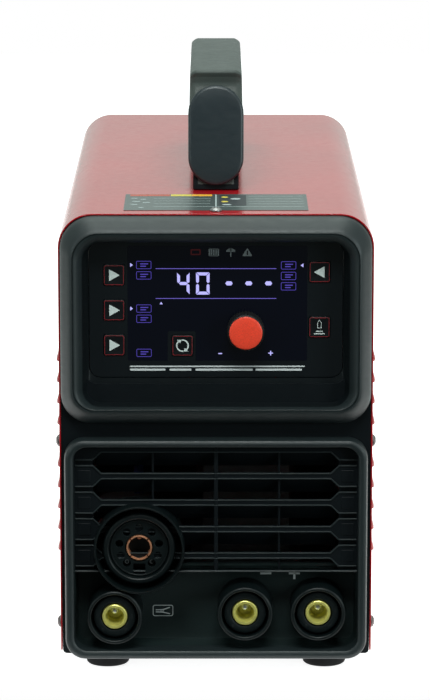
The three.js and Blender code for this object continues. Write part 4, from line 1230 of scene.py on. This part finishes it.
def build_screws(sizes):
    """The six pan-head screws that hold the cover."""
    head = screw_head()
    for s, side in ((-1, "left"), (1, "right")):
        for z, level in SIDE_SCREW_HEIGHTS:
            part = moved(head, about("y", 90 * s), (s * 115.3, -SCREW_Y, z))
            mesh_piece(
                f"screw_{side}_{level}", [part], M("dark_zinc"), nodes=[f"cover_screw_{side}_{level}"],
            )
    for end, place in ((-1, "front"), (1, "rear")):
        part = moved(head, shift=(0, SCREW_Y * end, TOP + 0.3))
        mesh_piece(
            f"screw_top_{place}", [part], M("zinc_steel"), nodes=[f"cover_screw_top_{place}"],
            end=end
        )


FOOT_X, FOOT_Y = 81.0, 206.5


def build_feet(sizes):
    """Four turned rubber feet with a rounded tread and a sunk fixing hole."""
    profile = [
        (4.0, 6.0), (4.4, 0.6), (5.0, 0.0), (13.6, 0.0), (14.8, 0.35), (15.7, 1.2), (16.1, 2.4), (16.4, 8),
        (16.4, 13.0), (16.1, 13.6), (4.0, 13.6)
    ]
    for end, place in ((-1, "front"), (1, "rear")):
        for x, side in ((-FOOT_X, "left"), (FOOT_X, "right")):
            part = turned(profile, x, FOOT_Y * end, 64, closed=True, axis="z")
            mesh_piece(
                f"rubber_foot_{place}_{side}", [part], M("foot_rubber"), nodes=[f"foot_{place}_{side}"],
                end=end
            )


# ---------------------------------------------------------------- back
FAN_Z = 255.0
SWITCH_X, SWITCH_Z = -58.0, 118.0
GLAND_X, GLAND_Z = 56.0, 112.0
INLET_Z = 60.0
VENT_BOTTOMS = 128.0 + 9.0 * np.arange(5)
GUARD_WIRE, GUARD_HOLES, GUARD_ARMS = 0.85, 66.4, (45, 135, 225, 315)  # wire radius, hole circle, arm angles


def at_back(part):
    """Turns a part built for the front half round to the back, as the rear moulding is the front's twin."""
    return moved(part, about("z", 180))


def hexagon(rows, x, z, start=0.0):
    """Six flats through (radius, depth) rows, the first corner at the angle start."""
    t = start + np.arange(6) * TAU / 6
    return lofted([np.stack([x + r * np.cos(t), np.full(6, y), z + r * np.sin(t)], -1) for r, y in rows])


def build_back(sizes):
    """The rear moulding with its fan opening, vents and rounded frame."""
    holes = [
        ellipse(56.0, 56.0, 0, FAN_Z, 96), rect_outline(13.6, 107.4, 128.6, 1.0, steps=3, x=SWITCH_X),
        ellipse(12.6, 12.6, GLAND_X, GLAND_Z, 40), ellipse(7.6, 7.6, 0, INLET_Z, 32)
    ]
    holes += [rect_outline(26, z, z + 4.0, 1.9, steps=5) for z in VENT_BOTTOMS]
    panel = plate(rect_outline(113.0, 14.5, 343.2, 23.5, 3, 10), holes, -234.5, -231.5)
    skirt = skirt_wall()
    rows = [
        (111.5, 12.4, 341.5, 22, 15, -232.0), (111.5, 12.4, 341.5, 22, 15, -239.8),
        (111.1, 12.8, 341.1, 21.6, 14.6, -241.4), (110.2, 13.7, 340.2, 21, 14, -242.6),
        (108.8, 15.1, 338.8, 20, 13, -243.0), (106.6, 17.3, 336.6, 18, 11.5, -242.6),
        (105.2, 18.7, 335.2, 16.6, 10.4, -241.4), (104.6, 19.3, 334.6, 16, 10, -239.8),
        (104.4, 19.5, 334.4, 16, 10, -232.0)
    ]
    frame_part = lofted(
        [at_depth(rect_outline(hw, z0, z1, rt, rb, 10), y) for hw, z0, z1, rt, rb, y in rows], wrap=True
    )
    lip = lofted(
        [
            at_depth(ellipse(r, r, 0, FAN_Z, 96), y)
            for r, y in (
                (59.5, -233.5), (59.5, -235.4), (59.0, -235.9), (56.9, -235.9), (56.2, -235.2), (56.0, -233.5)
            )
        ],
        wrap=True
    )
    beads = [
        ring(
            rect_outline(27.2, z - 1.2, z + 5.2, 2.9, steps=5), rect_outline(26, z, z + 4.0, 1.9, steps=5),
            -235.1, -234, 0.25
        )
        for z in VENT_BOTTOMS
    ]
    blades = []
    for z in VENT_BOTTOMS:
        section = rounded([(-232.0, z + 5.2), (-231.4, z + 6.0), (-222.4, z - 4.6), (-223.0, z - 5.4)], 0.3, 2)
        blades.append(lofted([np.insert(section, 0, x, axis=1) for x in (-28.0, 28.0)]))
    black = M("black_moulding")
    mesh_piece(
        "rear_moulding", [at_back(p) for p in (panel, skirt, frame_part, lip, *beads, *blades)], black,
        nodes=["rear_panel"], ease=0.25, end=1
    )

    wires = []
    t = np.arange(96) * TAU / 96
    for r in (15, 26, 37, 48, 57.5):
        circle = np.stack(
            [r * np.cos(t), np.full_like(t, 235.9 if r < 57 else 236.0), FAN_Z + r * np.sin(t)], -1
        )
        wires.append(tube(circle, GUARD_WIRE, 10, closed=True))
    for degrees in GUARD_ARMS:
        a = math.radians(degrees)
        run = [(14, 236.6), (40, 236.6), (57.6, 236.4), (63.5, 235.9)]
        wires.append(
            tube(np.array([(r * math.cos(a), y, FAN_Z + r * math.sin(a)) for r, y in run]), GUARD_WIRE, 10)
        )
        loop = np.stack(
            [
                GUARD_HOLES * math.cos(a) + 3.0 * np.cos(t[::4]), np.full(24, 235.9),
                FAN_Z + GUARD_HOLES * math.sin(a) + 3.0 * np.sin(t[::4])
            ],
            -1
        )
        wires.append(tube(loop, GUARD_WIRE, 8, closed=True))
    mesh_piece("fan_finger_guard", wires, M("bright_steel"), nodes=["fan_guard"], end=1)
    heads = [
        moved(
            screw_head(3.4, 1.9), about("x", -90),
            (GUARD_HOLES * math.cos(a), 236.4, FAN_Z + GUARD_HOLES * math.sin(a))
        )
        for a in np.radians(GUARD_ARMS)
    ]
    mesh_piece("fan_guard_screws", heads, M("zinc_steel"), end=1)

    flange = ring(
        rect_outline(15.2, 105.8, 130.2, 2.2, steps=5, x=SWITCH_X),
        rect_outline(11.2, 109.9, 126.1, 1.0, steps=5, x=SWITCH_X), -236.8, -234.8, 0.6
    )
    barrel = ring(
        rect_outline(13.2, 107.8, 128.2, 1.0, steps=5, x=SWITCH_X),
        rect_outline(11.2, 109.9, 126.1, 1.0, steps=5, x=SWITCH_X), -235, -214
    )
    mesh_piece(
        "power_switch_housing", [at_back(flange), at_back(barrel)], M("switch_moulding"),
        nodes=["power_switch_body"], end=1
    )
    side = rounded(
        [(2.0, -7.6), (-4.2, -7.4), (-3.0, -1.0), (-3.0, 1.0), (-4.2, 7.4), (2.0, 7.6), (5, 2), (5, -2)],
        [0.4, 1.0, 4, 4, 1.0, 0.4, 1, 1], 5
    )
    rocker = moved(pillow(side[::-1], 10.6, 0.7, steps=4), about("x", -10), (SWITCH_X, -235, SWITCH_Z))
    mesh_piece(
        "rocker_paddle", [at_back(rocker)], M("switch_red"), body="rocker", nodes=["power_switch_rocker"],
        sharp=40, end=1
    )

    gx, gz = GLAND_X, GLAND_Z
    nut = hexagon([(13.5, -221.6), (15.6, -222.6), (15.6, -228.0)], gx, gz, math.pi / 6)
    dome = [
        (6.2, -234), (6.2, -247.5), (6.8, -248.7), (8.4, -248.9), (9.8, -248.1), (10.6, -246.3), (11.8, -240.8),
        (12.2, -239.8), (13.4, -239.4), (15.7, -239.2), (15.9, -238.6), (15.9, -235.6), (15.5, -235.1),
        (12.2, -235.0), (12.2, -221.4), (6.2, -221.4)
    ]
    body = turned(dome, gx, gz, 72, closed=True)
    p, f = body
    a = np.arctan2(p[:, 2] - gz, p[:, 0] - gx)
    grip = (np.hypot(p[:, 0] - gx, p[:, 2] - gz) > 13) & (p[:, 1] < -235.3)
    k = np.where(grip, 1 - 0.035 * (0.5 + 0.5 * np.cos(18 * a)) ** 3, 1.0)
    p = np.stack([gx + (p[:, 0] - gx) * k, p[:, 1], gz + (p[:, 2] - gz) * k], -1)
    seal = turned(
        [(4.6, -236), (4.6, -247.9), (5.2, -248.4), (6.1, -248.2), (6.1, -236)], gx, gz, 48, closed=True
    )
    finishes = [M("black_moulding"), M("black_moulding"), M("foot_rubber")]
    mesh_piece(
        "cable_gland_body", [at_back((p, f)), at_back(nut), at_back(seal)], finishes, nodes=["cable_gland"],
        end=1
    )

    nipple = [
        (2.6, -217.2), (7.2, -217.2), (7.2, -234.8), (8.6, -234.9), (8.6, -241.0), (5.9, -241.3), (5.9, -243.6),
        (4.6, -245.4), (4.6, -246.0), (5.4, -248.0), (5.3, -249.4), (4.1, -250.9), (3.1, -251.0), (2.6, -250.4)
    ]
    collar = hexagon([(9.2, -235.1), (9.9, -235.8), (9.9, -240.2), (9.2, -241.0)], 0.0, INLET_Z)
    mesh_piece(
        "air_inlet_nipple", [at_back(turned(nipple, 0.0, INLET_Z, 56, closed=True)), at_back(collar)],
        M("brass_inlet"), nodes=["air_inlet"], end=1
    )


CARRIED = {
    "base_tray": "black_steel", "deck": "galvanised_sheet", "heatsink": "bare_aluminium",
    "inverter_board": "green_board", "control_board": "green_board", "display_module": "dark_lens",
    "dial_encoder": "bright_steel", "main_transformer": "wound_copper", "output_choke": "wound_copper",
    "compressor_motor": "cast_grey", "compressor_crankcase": "cast_grey",
    "compressor_cylinder": "bare_aluminium", "compressor_fan": "fan_plastic",
    "solenoid_valve": "bright_steel", "filter_bowl": "bowl_plastic", "air_hose": "blue_hose",
    "fan_frame": "fan_plastic", "fan_rotor": "fan_plastic",
}


def build_inside(sizes):
    """Gives the parts inside their finishes and eases their edges."""
    for name, finish in CARRIED.items():
        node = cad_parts[name]
        node.data.materials.clear()
        node.data.materials.append(M(finish))
        for polygon in node.data.polygons:
            polygon.material_index = 0
        eased(node, 0.4)


# ---------------------------------------------------------------- finish list
FINISHES = {
    "red_powder_coat": lambda n: powder_coat(n, (0.36, 0.006, 0.011)),
    "black_moulding": lambda n: moulding(n, (0.0085, 0.0145, 0.0160), 0.48),
    # A darker copy of the black moulding: painted shade on the hood's inner wall and shelf.
    "recess_moulding": lambda n: moulding(n, (0.0024, 0.0046, 0.0058), 0.4, grain=0.05, level=0.3),
    # A darker, duller copy of the black moulding: painted shade on the plate, the grille and the handle's feet.
    "shade_moulding": lambda n: moulding(n, (0.0016, 0.0036, 0.0052), 0.55, level=0.18),
    # A slightly lighter copy of the black moulding: painted light on the sunk socket panel, offsetting the
    # ledge's shadow.
    "socket_panel_moulding": lambda n: moulding(n, (0.0090, 0.0170, 0.0170), 0.55, level=0.25),
    "socket_moulding": lambda n: moulding(n, (0.0024, 0.0052, 0.0058), 0.42, grain=0.06, level=0.25),
    "switch_moulding": lambda n: moulding(n, (0.012, 0.012, 0.013), 0.3, grain=0.05),
    "dial_moulding": lambda n: moulding(n, (0.0016, 0.0018, 0.002), 0.55, grain=0.08),
    "handle_plastic": lambda n: moulding(n, (0.050, 0.061, 0.056), 0.5, level=0.3),
    "cap_plastic": lambda n: moulding(n, (0.012, 0.020, 0.0245), 0.4),
    "key_film": lambda n: gloss_film(n, (0.0030, 0.0042, 0.0055), 0.3),
    "facia_film": lambda n: gloss_film(n, (0.0028, 0.0048, 0.0065), 0.3),
    "window_film": lambda n: gloss_film(n, (0.0012, 0.0018, 0.006), 0.12),
    "dark_lens": lambda n: gloss_film(n, (0.002, 0.002, 0.004), 0.1),
    "key_ink": lambda n: ink(n, (0.62, 0.68, 0.66)),
    "key_border": lambda n: ink(n, (0.24, 0.010, 0.016)),
    "pale_ink": lambda n: ink(n, (0.62, 0.65, 0.65)),
    "unlit_lamp": lambda n: ink(n, (0.17, 0.19, 0.195)),
    "dim_red_lamp": lambda n: glow(n, (0.10, 0.006, 0.010), 0.25),
    "figure_glow": lambda n: glow(n, (0.50, 0.48, 1.0), 1.05),
    "rule_glow": lambda n: glow(n, (0.17, 0.13, 0.62), 1.0),
    "frame_glow": lambda n: glow(n, (0.10, 0.07, 0.50), 0.8),
    "dial_red": lambda n: moulding(n, (0.86, 0.060, 0.026), 0.4, grain=0.05, spread=0.05),
    "switch_red": lambda n: moulding(n, (0.52, 0.012, 0.012), 0.28, grain=0.03, spread=0.05),
    "bright_steel": lambda n: plated(n, (0.66, 0.68, 0.70), 0.24),
    "zinc_steel": lambda n: plated(n, (0.30, 0.30, 0.295)),
    "dark_zinc": lambda n: plated(n, (0.20, 0.17, 0.17), 0.4),
    "contact_copper": lambda n: turned_metal(n, (0.80, 0.36, 0.20), (TORCH_X, 0, TORCH_Z), 0.3, metal=0.6),
    "brass_inlet": lambda n: turned_metal(n, (0.74, 0.52, 0.20), (0, 0, INLET_Z)),
    "foot_rubber": lambda n: rubber(n, (0.005, 0.0055, 0.006)),
    "black_steel": lambda n: powder_coat(n, (0.012, 0.013, 0.014), 0.4),
    "galvanised_sheet": lambda n: plated(n, (0.50, 0.52, 0.54), 0.4),
    "bare_aluminium": lambda n: cast(n, (0.72, 0.73, 0.74), 0.38),
    "cast_grey": lambda n: cast(n, (0.42, 0.43, 0.44), 0.55),
    "wound_copper": lambda n: copper_winding(n, (0.55, 0.20, 0.08)),
    "green_board": lambda n: circuit_board(n, (0.008, 0.07, 0.03)),
    "fan_plastic": lambda n: moulding(n, (0.010, 0.010, 0.011), 0.45),
    "bowl_plastic": lambda n: gloss_film(n, (0.30, 0.36, 0.38), 0.1),
    "blue_hose": lambda n: moulding(n, (0.010, 0.05, 0.22), 0.35, grain=0.04),
    "label_grey": lambda n: gloss_film(n, (0.050, 0.066, 0.064), 0.3),
    "label_red": lambda n: ink(n, (0.42, 0.08, 0.05)),
    "label_amber": lambda n: ink(n, (0.75, 0.36, 0.02)),
    "label_yellow": lambda n: ink(n, (0.62, 0.50, 0.06)),
    "label_pale": lambda n: ink(n, (0.36, 0.42, 0.42)),
    "label_dark": lambda n: ink(n, (0.020, 0.026, 0.030)),
}
for socket, (x, z) in CURRENT_SOCKETS.items():
    FINISHES[f"brass_{socket}"] = lambda n, x=x, z=z: turned_metal(
        n, (0.80, 0.74, 0.20), (x, 0, z), 0.3, metal=0.6
    )


def M(name):
    """The named finish, made the first time it is asked for; the ending keeps it apart from the part's plain
    ones."""
    made = f"{name}_finish"
    return bpy.data.materials.get(made) or FINISHES[name](made)


# ---------------------------------------------------------------- stage
LEFT_SHARE, RIGHT_SHARE = 0.75, 1.9  # of the side boxes' power


def area_light(name, place, target, width, height, power, colour):
    """A soft box at place, facing target; sizes in metres, power in watts."""
    lamp = bpy.data.lights.new(name, "AREA")
    lamp.shape, lamp.size, lamp.size_y, lamp.energy, lamp.color = "RECTANGLE", width, height, power, colour
    holder = bpy.data.objects.new(name, lamp)
    bpy.context.scene.collection.objects.link(holder)
    holder.location = place
    holder.rotation_euler = (Vector(target) - Vector(place)).to_track_quat("-Z", "Y").to_euler()


def build_world(studio):
    """A bright room behind and above and a dimmer one in front: the strength falls as the direction turns to
    the viewer."""
    world = bpy.data.worlds.new("studio")
    bpy.context.scene.world = world
    world.use_nodes = True
    tree = world.node_tree
    tree.nodes.clear()
    add = tree.nodes.new
    place, split, span = add("ShaderNodeTexCoord"), add("ShaderNodeSeparateXYZ"), add("ShaderNodeMapRange")
    room, plain, mix = add("ShaderNodeBackground"), add("ShaderNodeBackground"), add("ShaderNodeMixShader")
    path, out = add("ShaderNodeLightPath"), add("ShaderNodeOutputWorld")
    link = tree.links.new
    span.interpolation_type = "SMOOTHSTEP"
    for key, value in (
        ("From Min", -0.6), ("From Max", 0.6), ("To Min", studio.front_light), ("To Max", studio.back_light)
    ):
        span.inputs[key].default_value = value
    room.inputs["Color"].default_value = (0.87, 1, 0.95, 1)
    plain.inputs["Color"].default_value = (1, 1, 1, 1)
    link(place.outputs["Generated"], split.inputs[0])
    link(split.outputs["Y"], span.inputs["Value"])
    link(span.outputs["Result"], room.inputs["Strength"])
    link(path.outputs["Is Camera Ray"], mix.inputs[0])
    link(room.outputs[0], mix.inputs[1])
    link(plain.outputs[0], mix.inputs[2])
    link(mix.outputs[0], out.inputs[0])


def build_stage(studio):
    """Camera, room, lights and a plain pale floor."""
    scene = bpy.context.scene
    scene.view_settings.view_transform = "Standard"
    scene.view_settings.look = "None"
    build_world(studio)
    side = studio.side_power
    for lamp in (
        ("overhead", (0, 0.1, 1.75), (0, 0.0, 0.2), 1.3, 1.1, studio.overhead_power, (0.90, 1, 0.94)),
        ("left_box", (-2.2, -2.0, 0.8), (0, -0.2, 0.2), 0.7, 1.2, side * LEFT_SHARE, (0.86, 1, 1)),
        ("right_box", (2.2, -2.0, 0.8), (0, -0.2, 0.2), 0.7, 1.2, side * RIGHT_SHARE, (0.86, 1, 1)),
        ("front_box", (0.0, -1.5, 2.0), (0, -0.25, 0.25), 1.2, 0.6, studio.front_power, (0.93, 1, 0.98)),
    ):
        area_light(*lamp)
    outline = rounded([(-1400, -305), (1400, -305), (1400, 3600), (-1400, 3600)], 150, 12)
    points, faces = laid(plate(outline, [], -1.6, -0.1))
    mesh = bpy.data.meshes.new("floor")
    mesh.from_pydata((points * MM).tolist(), [], faces)
    work = bmesh.new()
    work.from_mesh(mesh)
    bmesh.ops.recalc_face_normals(work, faces=work.faces)
    work.to_mesh(mesh)
    work.free()
    floor = bpy.data.objects.new("floor", mesh)
    scene.collection.objects.link(floor)
    n = Nodes("floor_paper")
    n.done(
        n.ramp(n.noise(3.0), [(0.3, 0.90), (0.7, 0.93)]), n.span(n.noise(40), 0.3, 0.7, 0.75, 0.85),
        Emission_Strength=0.9
    )
    n.shader.inputs["Emission Color"].default_value = (1, 1, 1, 1)
    mesh.materials.append(n.material)
    lens = bpy.data.cameras.new("camera")
    lens.lens, lens.sensor_width, lens.sensor_fit = studio.focal_length, 36.0, "AUTO"
    lens.clip_end = 30
    camera = bpy.data.objects.new("camera", lens)
    scene.collection.objects.link(camera)
    camera.location = (-0.0007, -studio.camera_distance, studio.camera_height)
    camera.rotation_euler = (math.pi / 2 - studio.camera_tilt, 0, 0)
    scene.camera = camera


# ---------------------------------------------------------------- settings
def length(name, description, default):
    """A length setting in metres."""
    return bpy.props.FloatProperty(
        name=name, description=description, default=default, min=0.0, unit="LENGTH", subtype="DISTANCE"
    )


def share(name, description, default):
    """A brightness setting."""
    return bpy.props.FloatProperty(name=name, description=description, default=default, min=0, subtype="FACTOR")


def power(name, description, default):
    """A lamp's power in watts."""
    return bpy.props.FloatProperty(
        name=name, description=description, default=default, min=0, subtype="POWER", unit="POWER")


class PlasmaPieceSizes(bpy.types.PropertyGroup):
    """Sizes of the built pieces that are worth changing."""

    sheet: length("Sheet", "Thickness of the cover's steel sheet", 0.0012)
    louvre_reach: length("Louvre reach", "How far a louvre's lip stands out from the cover's side", 0.0039)
    handle_base_width: length("Handle base", "Width of the handle at its feet", 0.0422)
    handle_top_width: length("Handle top", "Width of the handle at its level top", 0.0390)


class PlasmaStudio(bpy.types.PropertyGroup):
    """Camera and lights."""

    focal_length: bpy.props.FloatProperty(
        name="Focal length", description="Lens length in millimetres", default=188.7, subtype="DISTANCE_CAMERA"
    )
    camera_distance: length("Distance", "How far in front of the origin the camera stands", 2.894)
    camera_height: length("Height", "The camera's height above the floor", 0.774)
    camera_tilt: bpy.props.FloatProperty(
        name="Tilt", description="How far the camera looks down", default=math.radians(11.4), subtype="ANGLE",
        unit="ROTATION"
    )
    front_light: share("Room in front", "Brightness of the room on the viewer's side", 0.10)
    back_light: share("Room behind", "Brightness of the room behind the machine", 0.78)
    overhead_power: power("Overhead", "Power of the box overhead", 14.0)
    side_power: power("Sides", "Power of the side boxes, of which each gets its share", 14.0)
    front_power: power("Front", "Power of the high box in front", 37.0)


# ---------------------------------------------------------------- operators
class PieceOperator:
    """What the operators that build pieces share."""

    bl_options = {"REGISTER", "UNDO"}
    build = None

    def execute(self, context):
        type(self).build(context.scene.plasma_sizes)
        return {"FINISHED"}


class PLASMA_OT_cover(PieceOperator, bpy.types.Operator):
    """Builds the folded sheet cover with its louvres"""

    bl_idname, bl_label, build = "plasma.cover", "Cover", staticmethod(build_cover)


class PLASMA_OT_front_mouldings(PieceOperator, bpy.types.Operator):
    """Builds the hood, lower frame, grille and socket panel"""

    bl_idname, bl_label, build = "plasma.front_mouldings", "Front mouldings", staticmethod(
        build_front_mouldings
    )


class PLASMA_OT_current_sockets(PieceOperator, bpy.types.Operator):
    """Builds the three current sockets"""

    bl_idname, bl_label, build = "plasma.current_sockets", "Current sockets", staticmethod(
        build_current_sockets
    )


class PLASMA_OT_torch_socket(PieceOperator, bpy.types.Operator):
    """Builds the torch socket with its pins and contact"""

    bl_idname, bl_label, build = "plasma.torch_socket", "Torch socket", staticmethod(build_torch_socket)


class PLASMA_OT_panel_marks(PieceOperator, bpy.types.Operator):
    """Builds the marks printed over the sockets"""

    bl_idname, bl_label, build = "plasma.panel_marks", "Socket marks", staticmethod(build_panel_marks)


class PLASMA_OT_facia(PieceOperator, bpy.types.Operator):
    """Builds the facia and the display's pane"""

    bl_idname, bl_label, build = "plasma.facia", "Facia", staticmethod(build_facia)


class PLASMA_OT_keys(PieceOperator, bpy.types.Operator):
    """Builds the six keys"""

    bl_idname, bl_label, build = "plasma.keys", "Keys", staticmethod(build_keys)


class PLASMA_OT_display(PieceOperator, bpy.types.Operator):
    """Builds the display's figures, rules, frames and lamps"""

    bl_idname, bl_label, build = "plasma.display", "Display", staticmethod(build_display)


class PLASMA_OT_dial(PieceOperator, bpy.types.Operator):
    """Builds the current dial"""

    bl_idname, bl_label, build = "plasma.dial", "Dial", staticmethod(build_dial)


class PLASMA_OT_handle(PieceOperator, bpy.types.Operator):
    """Builds the handle and its two oval covers"""

    bl_idname, bl_label, build = "plasma.handle", "Handle", staticmethod(build_handle)


class PLASMA_OT_label(PieceOperator, bpy.types.Operator):
    """Builds the plain plate on the top"""

    bl_idname, bl_label, build = "plasma.label", "Rating plate", staticmethod(build_label)


class PLASMA_OT_screws(PieceOperator, bpy.types.Operator):
    """Builds the cover's screws"""

    bl_idname, bl_label, build = "plasma.screws", "Cover screws", staticmethod(build_screws)


class PLASMA_OT_feet(PieceOperator, bpy.types.Operator):
    """Builds the rubber feet"""

    bl_idname, bl_label, build = "plasma.feet", "Feet", staticmethod(build_feet)


class PLASMA_OT_back(PieceOperator, bpy.types.Operator):
    """Builds the rear moulding, fan guard, switch, gland and air inlet"""

    bl_idname, bl_label, build = "plasma.back", "Back", staticmethod(build_back)


class PLASMA_OT_inside(PieceOperator, bpy.types.Operator):
    """Finishes the parts inside the case"""

    bl_idname, bl_label, build = "plasma.inside", "Inside", staticmethod(build_inside)


class PLASMA_OT_stage(bpy.types.Operator):
    """Sets up the camera, lights and floor"""

    bl_idname, bl_label, bl_options = "plasma.stage", "Stage", {"REGISTER", "UNDO"}

    def execute(self, context):
        build_stage(context.scene.plasma_studio)
        return {"FINISHED"}


OPERATORS = (
    PLASMA_OT_cover, PLASMA_OT_front_mouldings, PLASMA_OT_current_sockets, PLASMA_OT_torch_socket,
    PLASMA_OT_panel_marks, PLASMA_OT_facia, PLASMA_OT_keys, PLASMA_OT_display, PLASMA_OT_dial,
    PLASMA_OT_handle, PLASMA_OT_label, PLASMA_OT_screws, PLASMA_OT_feet, PLASMA_OT_back, PLASMA_OT_inside,
    PLASMA_OT_stage,
)


class PLASMA_PT_maker(bpy.types.Panel):
    """The add-on's panel in the 3D view's sidebar"""

    bl_idname, bl_label = "PLASMA_PT_maker", "Plasma cutter"
    bl_space_type, bl_region_type, bl_category = "VIEW_3D", "UI", "Plasma cutter"

    def draw(self, context):
        for settings in (context.scene.plasma_sizes, context.scene.plasma_studio):
            box = self.layout.box()
            for key in type(settings).__annotations__:
                box.prop(settings, key)
        for operator in OPERATORS:
            self.layout.operator(operator.bl_idname)


CLASSES = (PlasmaPieceSizes, PlasmaStudio, *OPERATORS, PLASMA_PT_maker)


def register():
    for cls in CLASSES:
        bpy.utils.register_class(cls)
    bpy.types.Scene.plasma_sizes = bpy.props.PointerProperty(type=PlasmaPieceSizes)
    bpy.types.Scene.plasma_studio = bpy.props.PointerProperty(type=PlasmaStudio)


def unregister():
    del bpy.types.Scene.plasma_studio
    del bpy.types.Scene.plasma_sizes
    for cls in reversed(CLASSES):
        bpy.utils.unregister_class(cls)


def main():
    """Registers the add-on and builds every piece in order."""
    register()
    for operator in OPERATORS:
        family, action = operator.bl_idname.split(".")
        getattr(getattr(bpy.ops, family), action)()
    bpy.context.view_layer.update()


if __name__ == "__main__":
    main()
